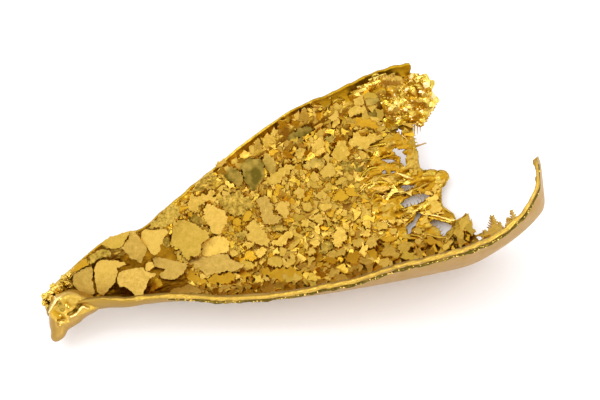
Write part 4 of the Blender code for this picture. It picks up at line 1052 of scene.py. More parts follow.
# %% Scatter the small plates
FLAKE_TRIES, FLAKE_SEED = 9000, 8
FLAKE_SIZES = (0.16, 0.46)
FLAKE_THICK, FLAKE_FOOT = 0.09, 0.95
FLAKE_BREAK = 0.32  # how far its sides are pushed
FLAKES_APART = 0.56  # of the sizes of two flakes
HOLE_CLEAR = 1.3  # of a flake's size
RIM_CLEAR = 0.35
SHARD_COUNT, SHARD_SEED = 70, 12
SHARD_THICK, SHARD_FOOT = 0.08, 0.85
FLAKE_FINISHES = [PLATE_FACE, PLATE_EDGE_PAINTED_LIGHT, PAINTED_DARK_REFLECTION_AND_SHADE, GLINT, ORANGE_FACE]


def flake_outline(draw, along, across, size, stretch=1.0, way=0.0):
    """An angular outline with points and notches, each side then broken."""
    corners = 2 * draw.randint(2, 4)
    spots = []
    for k in range(corners):
        turn = (k + draw.uniform(-0.3, 0.3)) * math.tau / corners
        reach = size * (draw.uniform(1.0, 1.5) if k % 2 else draw.uniform(0.5, 0.95))
        x, y = reach * math.cos(turn) * stretch, reach * math.sin(turn) / stretch
        spots.append((along + x * math.cos(way) - y * math.sin(way), across + x * math.sin(way) + y * math.cos(way)))
    return broken_up(spots, draw, FLAKE_BREAK, 1)


def in_lace(along, across):
    """Whether a place belongs to the lace, where no flakes lie."""
    return along > 27.3 and -4.6 < across < 2.6 or along > 29.3 and across > -5.6


def scattered_flakes():
    draw = random.Random(FLAKE_SEED)
    blocked = [outline for _, outline in PLATES] + list(LACE_HOLES) + [OPEN_END]
    kept, planned = [], []
    for _ in range(FLAKE_TRIES):
        along = draw.uniform(11.0, 33.0)
        across = draw.uniform(rim_across(along, -1) + RIM_CLEAR, rim_across(along, 1) - bare_strip_at(along))
        wide = held((along - 12) / 8)
        size = draw.uniform(*FLAKE_SIZES) * (0.6 + 0.4 * wide)
        if any(inside((along, across), outline) for outline in blocked):
            continue
        if in_lace(along, across) or along > 25.5 and draw.random() < 0.4:
            continue
        if any(math.hypot(along - a, across - b) < FLAKES_APART * (size + s) for a, b, s in kept):
            continue
        kept.append((along, across, size))
        to_hole = min(math.dist((along, across), spot) for hole in LACE_HOLES for spot in hole)
        if along > 27.0 and to_hole < HOLE_CLEAR * size:
            continue
        rise = draw.uniform(0.04, 0.30) * (0.5 + 0.5 * wide)
        lean = Vector((draw.gauss(0, 0.20), draw.gauss(0, 0.20), 0))
        facing = (facing_at(along, across) + lean).normalized()
        tone = draw.choice((-0.1, 0.0, 0.1, 0.2, 0.3, 0.6))
        outline = flake_outline(draw, along, across, size, draw.uniform(1.0, 1.35), draw.uniform(0, math.pi))
        top = draw.choice((0, 0, 0, 0, 0, 0, 0, 1, 4, 4))
        planned.append(plan(outline, rise, facing, tone, thick=FLAKE_THICK, foot=FLAKE_FOOT, top=top))
    return planned


def scattered_shards():
    """Narrow shards between the holes of the torn end."""
    draw = random.Random(SHARD_SEED)
    planned = []
    while len(planned) < SHARD_COUNT:
        along, across = draw.uniform(25.8, 31.2), draw.uniform(-6.4, 3.2)
        way = draw.gauss(-0.25, 0.35)
        size = draw.uniform(0.25, 0.55)
        step = Vector((math.cos(way), math.sin(way))) * size
        spots = [(along, across), (along + step.x, across + step.y), (along - step.x, across - step.y)]
        if not all(clear_of_holes(spot) for spot in spots):
            continue
        outline = flake_outline(draw, along, across, size * 0.8, draw.uniform(1.6, 2.2), way)
        lean = Vector((draw.gauss(0, 0.2), draw.gauss(0, 0.25), 0))
        facing = (facing_at(along, across) + lean).normalized()
        rise, tone = draw.uniform(0.12, 0.4), draw.choice((-0.2, 0.0, 0.2, 0.3))
        top = draw.choice((0, 0, 4, 3))
        planned.append(plan(outline, rise, facing, tone, thick=SHARD_THICK, foot=SHARD_FOOT, top=top))
    return planned


make_piece("flakes", grow(scattered_flakes() + scattered_shards()), FLAKE_FINISHES)

# %% [markdown]
# ## Grains
# The ground, the torn edges and the tip glitter, because they are packed with crystals too small to see
# one by one. A grain is the smallest icosphere, twenty flat faces, squeezed and turned by chance. Blender's
# operators slow down on a big bmesh, so the work is a list of jobs, and each batch of jobs gets a small
# bmesh of its own.

# %% One grain, and many in batches
GRAIN_SQUEEZE = (0.5, 1.0)
BATCH = 60


def add_grain(bm, spot, size, draw, tone, finish=0):
    """A tiny many-faced crystal at a drawn point."""
    turn = Matrix.Rotation(draw.uniform(0, math.tau), 4, Vector((draw.gauss(0, 1), draw.gauss(0, 1), 1)))
    shape = Matrix.Diagonal((1.0, draw.uniform(*GRAIN_SQUEEZE), draw.uniform(*GRAIN_SQUEEZE), 1))
    matrix = Matrix.Translation(spot) @ turn @ shape
    made = bmesh.ops.create_icosphere(bm, subdivisions=1, radius=size, matrix=matrix)
    paint(bm, {face for v in made["verts"] for face in v.link_faces}, tone, finish)


def joined(parts):
    """Several bmeshes as one."""
    whole = bmesh.new()
    tone_layer(whole)
    for part in parts:
        carrier = bpy.data.meshes.new("part")
        part.to_mesh(carrier)
        part.free()
        whole.from_mesh(carrier)
        bpy.data.meshes.remove(carrier)
    return whole


def in_batches(jobs):
    """Runs every job, which is a function and its values, on the small bmesh of its batch, and joins them."""
    parts = []
    for start in range(0, len(jobs), BATCH):
        parts.append(bmesh.new())
        tone_layer(parts[-1])
        for job in jobs[start:start + BATCH]:
            job[0](parts[-1], *job[1:])
    return joined(parts)


print("one bmesh for every", BATCH, "grains")

# %% [markdown]
# Grains lie on the ground between the plates, most of them towards the wide end. Others glitter along the
# far rim of the narrow half, where the growth creeps over the edge.

# %% Strew grains over the ground
GRIT_COUNT, GRIT_SEED = 700, 3
RIM_GRAINS, RIM_SEED = 190, 61


def strewn_grit():
    draw = random.Random(GRIT_SEED)
    jobs = []
    while len(jobs) < GRIT_COUNT:
        along = 33.0 - 22.0 * draw.random() ** 1.5
        across = draw.uniform(rim_across(along, -1) + 0.3, rim_across(along, 1) - bare_strip_at(along))
        if not clear_of_holes((along, across)):
            continue
        spot = Vector((along, across, height_at(along, across, WALL + 0.02)))
        size, tone, finish = draw.uniform(0.05, 0.15), draw.uniform(0, 0.8), draw.choice((0, 0, 1))
        jobs.append((add_grain, spot, size, draw, tone, finish))
    return jobs


def rim_glitter():
    draw = random.Random(RIM_SEED)
    jobs = []
    for _ in range(RIM_GRAINS):
        spot = wall_point(draw.uniform(share_of(1.8), share_of(13.5)), 1.0 - draw.uniform(0.0, 0.10))
        spot += Vector((0, sway(spot.x) - spot.y, -spot.z)).normalized() * draw.uniform(0.05, 0.22)
        size, tone = draw.uniform(0.04, 0.10), draw.uniform(-0.2, 0.6)
        jobs.append((add_grain, spot, size, draw, tone, 1))
    return jobs


make_piece("grit", in_batches(strewn_grit() + rim_glitter()), [PLATE_FACE, GLINT])

# %% [markdown]
# ## The sealed tip
# The tip is covered with round, bright lumps. Each is a finer icosphere whose points a noise pushes in and
# out, with its underside drawn down to the wall so that it stands on something. Grains sit on its skin.

# %% Nodules of the tip
# Place along, place across, height of the middle over the wall, radius.
NODULES = (
    (0.42, 0.4, 0.85, 0.32), (0.72, 0.12, 0.8, 0.3), (0.22, -0.05, 0.75, 0.24), (0.34, -0.42, 0.7, 0.22),
    (1.45, 0.55, 0.6, 0.5), (1.3, 0.9, 0.5, 0.28), (1.85, 0.85, 0.55, 0.26), (2.35, 0.8, 0.6, 0.32),
    (2.45, 0.5, 0.45, 0.26), (2.25, 1.25, 0.5, 0.26), (2.7, 1.35, 0.35, 0.24), (3.2, 1.5, 0.25, 0.2),
    (3.8, 1.65, 0.2, 0.2), (0.85, 0.45, 0.6, 0.3),
)
NODULE_SEED = 17
NODULE_CRUMPLE = 0.6
GRAINS_BY_RADIUS = 50


def add_lump(bm, along, across, rise, radius, crumple, tone, finish=1, fine=3, stands=True):
    """A round crystal whose skin is pushed in and out by a share of its radius."""
    middle = over_ground(along, across, rise)
    made = bmesh.ops.create_icosphere(bm, subdivisions=fine, radius=radius)
    for v in made["verts"]:
        bumps = noise.noise(v.co * 1.6 / radius + middle) + 0.7 * noise.noise(v.co * 4 / radius + middle)
        v.co *= 1 + crumple * bumps
        if v.co.z < 0 and stands:
            v.co.z *= 1 + max(rise, 0.0) / radius
        v.co += middle
    paint(bm, {face for v in made["verts"] for face in v.link_faces}, tone, finish)


def nodule_jobs():
    draw = random.Random(NODULE_SEED)
    jobs = []
    for along, across, rise, radius in NODULES:
        jobs.append((add_lump, along, across, rise, radius * 0.85, NODULE_CRUMPLE, draw.uniform(-0.2, 0.5)))
        middle = over_ground(along, across, rise)
        for _ in range(int(GRAINS_BY_RADIUS * radius)):
            way = Vector((draw.gauss(0, 1), draw.gauss(0, 1), abs(draw.gauss(0, 1)))).normalized()
            spot = middle + way * radius * draw.uniform(0.7, 0.85)
            size, tone = draw.uniform(0.05, 0.12), draw.uniform(-0.2, 0.6)
            jobs.append((add_grain, spot, size, draw, tone, 1))
    return jobs


make_piece("nodules", in_batches(nodule_jobs()), [GROWN_FACE, GLINT], smooth=True)

# %% [markdown]
# ## Crumpled sheets
# The far corner of the torn end looks like foil that was crumpled and pulled apart again, and the lace is a
# thinner sheet of the same kind. A sheet starts as a grid. The faces outside its outline are deleted, a
# ridged noise raises folds in what is left, and the operator of Solidify makes it thick. The finish and
# tone of each face follow its fold: valleys are painted deeper as shade, and crests lighter as painted highlight.

# %% How a sheet is crumpled
SHEET_THICK = 0.12
SHEET_CLEAR = 0.04  # over the wall, at the sheet's edge
EDGE_SLOPE = 0.6  # the folds reach their full height this far inside the outline
GRID_JITTER = 0.35  # of a step


def crumple_at(x, y, stretch, folds):
    """Ridged folds, from -1 to 1, that run lengthways by a stretch. Each fold has a fineness and a weight."""
    total = 0.0
    for fineness, weight in folds:
        total += weight * (1 - 4 * abs(noise.noise(Vector((x / stretch, y, fineness)) * fineness)))
    return total


def to_line(spot, start, end):
    """How far a drawn place lies from the straight line between two others."""
    start, way = Vector(start), Vector(end) - Vector(start)
    return (spot - start - way * held((spot - start).dot(way) / way.length_squared)).length


def distance_to(spot, outline):
    """How far a drawn place lies from the nearest side of an outline."""
    return min(to_line(spot, a, b) for a, b in zip(outline, outline[1:] + outline[:1]))


def add_sheet(bm, outline, holes, step, stretch, folds, lift, deep, look):
    """A crumpled sheet over the wall: a grid, cut to its outline, raised into folds and made solid."""
    tones = tone_layer(bm)
    low = Vector((min(p[0] for p in outline), min(p[1] for p in outline)))
    high = Vector((max(p[0] for p in outline), max(p[1] for p in outline)))
    counts = [round(length / step) for length in high - low]
    made = bmesh.ops.create_grid(bm, x_segments=counts[0], y_segments=counts[1], size=0.5)["verts"]
    for v in made:
        v.co.x, v.co.y = low.x + (v.co.x + 0.5) * (high.x - low.x), low.y + (v.co.y + 0.5) * (high.y - low.y)
        v.co.x += GRID_JITTER * step * noise.noise(v.co * 9.1)
        v.co.y += GRID_JITTER * step * noise.noise(v.co * 9.1 + Vector((5, 5, 5)))
    cut = []
    for face in {face for v in made for face in v.link_faces}:
        spot = face.calc_center_median().xy
        if not inside(spot, outline) or any(inside(spot, hole) for hole in holes):
            cut.append(face)
    bmesh.ops.delete(bm, geom=cut, context="FACES")
    kept = [face for face in bm.faces if face.is_valid]
    for v in bm.verts:
        inner = min(0.15 + distance_to(v.co.xy, outline) / EDGE_SLOPE, 1.0)
        raised = lift + deep * crumple_at(v.co.x, v.co.y, stretch, folds)
        v.co.z = height_at(v.co.x, v.co.y, WALL) + SHEET_CLEAR + inner * raised
    bmesh.ops.triangulate(bm, faces=kept)
    bmesh.ops.recalc_face_normals(bm, faces=bm.faces)
    for face in bm.faces:
        spot = face.calc_center_median()
        face.material_index, face[tones] = look(spot, crumple_at(spot.x, spot.y, stretch, folds))
    bmesh.ops.solidify(bm, geom=bm.faces, thickness=SHEET_THICK)


print("a fold at the far corner:", round(crumple_at(33.0, 5.0, 1.0, ((0.8, 0.7),)), 2))

# %% [markdown]
# The corner gets one sheet of foil with drawn lumps along its outer edge, small grains, and a few larger
# facets in the pale gold of a painted highlight. A paler sheet with long folds lies below the far rim beside it.

# %% The crumpled corner
# Place along, place across, height of the middle over the wall, radius.
CORNER_LUMPS = (
    (32.35, 6.25, 0.05, 0.36), (32.95, 6.05, 0.1, 0.42), (33.55, 5.75, 0.15, 0.44), (33.8, 5.25, 0.15, 0.42),
    (33.45, 4.6, 0.2, 0.42), (33.72, 3.95, 0.2, 0.38), (33.35, 3.75, 0.25, 0.44), (32.6, 3.4, 0.25, 0.46),
    (32.25, 2.95, 0.2, 0.36),
)
FOIL_OUTLINE = (
    (29.8, 4.2), (29.7, 5.0), (29.8, 5.7), (30.1, 6.3), (30.6, 6.4), (31.4, 6.0), (31.8, 5.8), (32.1, 6.3),
    (32.4, 6.5), (33.0, 6.35), (33.6, 6.1), (33.85, 5.7), (33.9, 5.1), (33.6, 4.8), (33.85, 4.3), (33.9, 3.8),
    (33.4, 3.4), (32.9, 3.0), (32.4, 2.6), (31.9, 2.5), (31.5, 3.0), (31.2, 3.3), (30.6, 3.1), (30.1, 3.3),
    (29.5, 3.2), (29.1, 3.6), (29.3, 4.0),
)
SHEET_OUTLINE = (
    (27.6, 6.2), (28.3, 6.0), (28.7, 6.1), (29.4, 6.4), (29.9, 6.4), (30.4, 6.5), (31.0, 6.2), (31.7, 6.0),
    (32.1, 6.3), (31.9, 6.7), (31.3, 7.0), (30.6, 7.25), (29.8, 7.2), (29.0, 7.1), (28.3, 6.9), (27.7, 6.7),
)
FOIL_FOLDS = ((0.8, 0.70), (1.7, 0.28))
SHEET_FOLDS = ((0.6, 0.60), (1.4, 0.35))
FOIL_CRUMPLE = 0.28
FOIL_GRAINS, FOIL_SEED = 100, 29
# Large facets in the pale gold of a painted highlight: along, across, rise over the wall, size.
SPANGLES = (
    (33.5, 5.45, 0.45, 0.46), (32.65, 6.35, 0.35, 0.34), (33.0, 5.0, 0.45, 0.38), (32.2, 4.6, 0.50, 0.34),
    (33.6, 4.3, 0.40, 0.36), (31.3, 4.1, 0.50, 0.30), (32.4, 3.5, 0.45, 0.32), (30.9, 5.4, 0.50, 0.30),
    (31.9, 5.5, 0.45, 0.36), (30.2, 4.6, 0.45, 0.26), (31.5, 3.5, 0.45, 0.24), (30.6, 3.7, 0.45, 0.26),
)


def foil_look(spot, fold):
    """Finish and tone of the crumpled corner: bright, painted deeper in its valleys as shade and lighter on its crests,
    with painted highlight gold on a few crests.
    """
    patch = noise.noise(spot * 1.1)
    finish = 3 if fold > 0.7 and patch > 0.2 else 2 if patch < -0.34 else 1 if patch > -0.12 else 0
    return finish, min(max(0.35 - 0.45 * fold + 0.3 * noise.noise(spot * 2), -0.1), 1.0)


def sheet_look(spot, fold):
    """Finish and tone of the pale sheet below the far rim: brighter foil gold and a lighter tone on its crests as
    painted highlight, deeper in its valleys as painted shade.
    """
    return (1 if fold > -0.1 else 0), min(max(-0.1 - 0.3 * fold, -0.25), 0.6)


def foil_jobs():
    """Lumps, grains and facets of the corner."""
    draw = random.Random(FOIL_SEED)
    jobs = []
    for along, across, rise, radius in CORNER_LUMPS:
        jobs.append((add_lump, along, across, rise, radius * 0.9, FOIL_CRUMPLE, draw.choice((-0.2, 0.1, 0.4)), 1, 2))
    while len(jobs) < FOIL_GRAINS:
        spot = (draw.uniform(29.2, 33.8), draw.uniform(2.6, 6.4))
        if inside(spot, FOIL_OUTLINE) and not any(inside(spot, hole) for hole in LACE_HOLES):
            where = over_ground(*spot, draw.uniform(0.35, 0.65))
            # Some grains take the pale gold of a painted highlight.
            size, finish = draw.uniform(0.05, 0.15), draw.choice((1, 1, 3))
            jobs.append((add_grain, where, size, draw, 0.0, finish))
    for along, across, rise, size in SPANGLES:
        jobs.append((add_grain, over_ground(along, across, rise), size, draw, -0.1, 3))
    return jobs


foil_bms = [in_batches(foil_jobs()), bmesh.new(), bmesh.new()]
add_sheet(foil_bms[1], FOIL_OUTLINE, LACE_HOLES, 0.16, 1.0, FOIL_FOLDS, lift=0.26, deep=0.30, look=foil_look)
add_sheet(foil_bms[2], SHEET_OUTLINE, (), 0.20, 2.0, SHEET_FOLDS, lift=0.55, deep=0.14, look=sheet_look)
make_piece("foil", joined(foil_bms), [PLATE_FACE, FOIL, ORANGE_FACE, PAINTED_HIGHLIGHT_GOLD])

# %% [markdown]
# ## Tubes
# Ribs, needles, beads and polished folds are all closed tubes. A tube starts as a capped circle. Its end
# face is extruded from point to point, turned to the way ahead and sized at each. A curve with a bevel
# would be quicker to draw, but this tube can be flattened and takes a tone and a finish for its faces.

# %% A tube from point to point
THINNEST = 0.008  # half the width of a needle's point


def add_tube(bm, points, tone, finish, sides, flat=1.0):
    """A closed tube through (point, half width); flat sizes it to the eye."""

    def place(k):
        ahead = (points[min(k + 1, len(points) - 1)][0] - points[max(k - 1, 0)][0]).normalized()
        beside = Vector((0, 0, 1)).cross(ahead).normalized()
        turn = Matrix((beside, ahead.cross(beside), ahead)).transposed().to_4x4()
        half = max(points[k][1], THINNEST)
        return Matrix.Translation(points[k][0]) @ turn @ Matrix.Diagonal((half, half * flat, half, 1))

    made = bmesh.ops.create_circle(bm, cap_ends=True, segments=sides, radius=1.0, matrix=place(0))
    cap = made["verts"][0].link_faces[0]
    touched, inner = {cap}, []
    for k in range(1, len(points)):
        if k > 1:
            inner.append(cap)
        cap = extruded(bm, [cap])[0]
        bmesh.ops.transform(bm, matrix=place(k) @ place(k - 1).inverted(), verts=cap.verts)
        touched.update(face for v in cap.verts for face in v.link_faces)
    paint(bm, touched, tone, finish)
    bmesh.ops.delete(bm, geom=inner, context="FACES_ONLY")


print("the thinnest needles end", 2 * THINNEST, "mm wide")

# %% [markdown]
# ## The lip
# The lip of the tip is a small hook of smooth gold that runs down to the near side. One drawn face is
# extruded through four levels, each with its own share of the size, then subdivided and smoothed. Long
# edges are split, so that there are points enough to raise drawn folds and furrows on its top. Small
# knobs sit in the folds and crests in the pale gold of a painted highlight run along them. Its furrows are
# painted dark and orange as shade, and its raised folds get a lighter tone as painted highlight. Its
# underside is the print of the glass.

# %% The hooked lip
NIB = (
    (0.40, -0.6), (0.28, -0.95), (0.2, -1.3), (0.1, -1.8), (0.0, -2.3), (-0.15, -2.7), (-0.12, -2.95),
    (0.1, -3.08), (0.4, -3.02), (0.72, -2.9), (0.95, -2.66), (1.3, -2.45), (1.7, -2.38), (2.15, -2.35),
    (2.65, -2.1), (3.1, -2.0), (3.6, -1.95), (4.15, -1.8), (3.95, -1.2), (3.6, -0.75), (3.15, -0.35),
    (2.7, 0.0), (2.2, 0.15), (1.7, 0.12), (1.2, 0.1), (0.75, -0.1),
)
NIB_LEVELS = ((-0.95, 0.80), (-0.45, 1.0), (0.15, 1.03), (0.55, 0.99), (0.8, 0.86))
NIB_MIDDLE = Vector((1.2, -1.5))
LIP_EDGE = 0.09  # the longest edge that is left
LIP_FINISHES = [GLASS_PRINT, PLATE_FACE, GLINT, ORANGE_FACE, PAINTED_DARK_REFLECTION_AND_SHADE, PAINTED_HIGHLIGHT_GOLD, FUZZY_FACE]
# Folds and furrows of its top: from, to, half width, height, and the number of the finish there. The dark
# (4) and the orange (3) finish in the furrows are painted shade.
FOLDS = (
    ((0.25, -0.85), (1.0, -0.25), 0.12, 0.21, 2), ((1.0, -0.25), (1.55, -0.1), 0.13, 0.19, 2),
    ((0.35, -0.60), (0.85, -0.10), 0.10, -0.09, 6),
    ((1.75, -1.75), (2.1, -1.7), 0.09, 0.19, 2), ((2.1, -1.7), (2.85, -1.35), 0.11, 0.2, 2),
    ((2.85, -1.35), (3.2, -1.6), 0.09, 0.17, 2), ((1.65, -1.5), (2.25, -1.4), 0.13, -0.19, 4),
    ((2.25, -1.4), (2.8, -1.12), 0.13, -0.19, 4), ((0.9, -1.92), (1.05, -1.92), 0.11, 0.19, 2),
    ((0.75, -1.7), (1.2, -1.72), 0.08, -0.15, 4), ((0.62, -1.8), (0.65, -2.1), 0.07, -0.09, 4),
    ((0.70, -1.0), (1.0, -1.5), 0.24, -0.19, 3), ((1.25, -0.5), (1.35, -1.0), 0.24, -0.15, 6),
    ((1.75, -0.6), (1.95, -0.95), 0.16, -0.10, 3), ((1.3, -2.0), (1.35, -2.0), 0.10, 0.06, 1),
    ((1.9, -1.15), (3.3, -1.0), 0.14, -0.12, 1), ((2.2, -0.2), (3.2, -0.7), 0.30, 0.12, 1),
)
# Small bright knobs in the folds: along, across, radius.
KNOBS = ((1.72, -0.80, 0.14), (1.85, -0.98, 0.09), (1.02, -1.38, 0.11), (0.93, -1.86, 0.15), (0.74, -2.05, 0.09))
# Crests on the folds, in the pale gold of a painted highlight, as paths of (along, across, half width).
CRESTS = (
    ((0.20, -0.90, 0.03), (0.45, -0.72, 0.09), (0.80, -0.45, 0.10), (1.10, -0.20, 0.12), (1.38, -0.12, 0.13),
     (1.60, -0.12, 0.05)),
    ((1.12, -0.20, 0.10), (1.15, 0.00, 0.07), (1.08, 0.20, 0.03)),
    ((1.65, -1.68, 0.03), (1.80, -1.75, 0.08), (2.05, -1.74, 0.08), (2.40, -1.60, 0.09), (2.70, -1.40, 0.11),
     (2.90, -1.36, 0.11), (3.05, -1.50, 0.08), (3.20, -1.62, 0.03)),
    ((0.76, -1.95, 0.05), (0.90, -1.88, 0.12), (1.05, -1.90, 0.09), (1.17, -1.95, 0.03)),
)


def fold_at(x, y):
    """The height that the folds give a drawn point, and the nearest fold's share and finish."""
    total, best = 0.0, (0.0, 1)
    for start, end, half, high, finish in FOLDS:
        share = math.exp(-((to_line(Vector((x, y)), start, end) / half) ** 2))
        total += high * share
        best = max(best, (share, finish))
    return total, *best


def smooth_over(bm, rounds):
    """Evens out all points, some rounds over."""
    for _ in range(rounds):
        bmesh.ops.smooth_vert(bm, verts=bm.verts, factor=0.5, use_axis_x=True, use_axis_y=True, use_axis_z=True)


def split_long(bm, longest):
    """Splits edges until none is longer than this, so that small folds have points to stand on."""
    for _ in range(7):
        bmesh.ops.triangulate(bm, faces=[face for face in bm.faces if len(face.verts) > 3])
        long = [edge for edge in bm.edges if edge.calc_length() > longest]
        bmesh.ops.subdivide_edges(bm, edges=long, cuts=1)
    bmesh.ops.triangulate(bm, faces=[face for face in bm.faces if len(face.verts) > 3])


def top_at(skin, x, y):
    """How high the skin reaches around a drawn place."""
    return max(spot.z for spot in skin if abs(spot.x - x) < 0.1 and abs(spot.y - y) < 0.1)


def hooked_lip():
    bm = bmesh.new()
    tones = tone_layer(bm)
    low, share = NIB_LEVELS[0]
    spots = [NIB_MIDDLE + (Vector(p) - NIB_MIDDLE) * share for p in NIB]
    cap = bm.faces.new([bm.verts.new((p.x, p.y, low)) for p in spots])
    caps = []
    for (_, old), (level, share) in zip(NIB_LEVELS, NIB_LEVELS[1:]):
        cap = extruded(bm, [cap])[0]
        caps.append(cap)
        for v in cap.verts:
            v.co.xy = NIB_MIDDLE + (v.co.xy - NIB_MIDDLE) * (share / old)
            v.co.z = level
    bmesh.ops.delete(bm, geom=caps[:-1], context="FACES_ONLY")
    bmesh.ops.triangulate(bm, faces=[f for f in bm.faces if len(f.verts) > 4])
    bmesh.ops.subdivide_edges(bm, edges=bm.edges, cuts=3, use_grid_fill=True)
    smooth_over(bm, 5)
    split_long(bm, LIP_EDGE)
    smooth_over(bm, 4)
    bmesh.ops.recalc_face_normals(bm, faces=bm.faces)
    bm.normal_update()
    for v in bm.verts:
        up = max(v.normal.z, 0.0)
        climb = held((v.co.y + 2.9) / 1.5) * held((4.4 - v.co.x) / 1.5)
        v.co += v.normal * (0.08 + 0.05 * noise.noise(v.co * 1.6) + 0.015 * noise.noise(v.co * 6))
        v.co.z += up * (0.65 * climb + fold_at(v.co.x, v.co.y)[0] * min(climb * 3, 1.0))
    smooth_over(bm, 2)
    for face in bm.faces:
        x, y, _ = face.calc_center_median()
        high, share, finish = fold_at(x, y)
        printed = y < -2.1 or y < -0.9 and x < 0.05 + 0.65 * (-0.9 - y) or x > 1.5 and y < -1.85
        # Painted shade and highlight: dark and orange furrows, and a lighter tone where a fold is raised.
        face.material_index = 0 if printed else finish if share > 0.5 else 1
        face[tones] = 0.4 if printed else -0.2 if high > 0.1 else 0.1
    skin = [v.co.copy() for v in bm.verts]
    for x, y, radius in KNOBS:
        rise = top_at(skin, x, y) + 0.3 * radius - height_at(x, y, WALL)
        add_lump(bm, x, y, rise, radius, crumple=0.45, tone=-0.1, finish=2, fine=2, stands=False)
    for crest in CRESTS:
        points = []
        for k in range(4 * len(crest) + 1):
            x, y, half = smooth_rows(crest, k / (4 * len(crest)))
            half *= 0.8 + 0.4 * noise.noise(Vector((x * 3, y * 3, 0)))
            points.append((Vector((x, y, top_at(skin, x, y) + 0.2 * half)), half))
        add_tube(bm, points, tone=0.0, finish=5, sides=8)
    return bm


make_piece("lip", hooked_lip(), LIP_FINISHES, smooth=True)

# %% [markdown]
# ## Ribs
# The torn end is lace: ribs with combs of needles between ragged holes. Ribs are drawn as paths over the
# wall, with a rise and a half width at each point, and a cubic runs through them. A noise makes them
# uneven, because no rib of the real lace keeps its width.

# %% Drawn ribs
def over_wall(path, steps):
    """Points and half widths along a path of (along, across, rise, half width), smoothed."""
    rows = [smooth_rows(path, k / steps) for k in range(steps + 1)]
    points = []
    for x, y, rise, half in rows:
        uneven = 1 + 0.6 * noise.noise(Vector((x * 3, y * 3, rise)))
        points.append((Vector((x, y + 0.05 * uneven, height_at(x, y, WALL) + rise)), half * uneven))
    return points


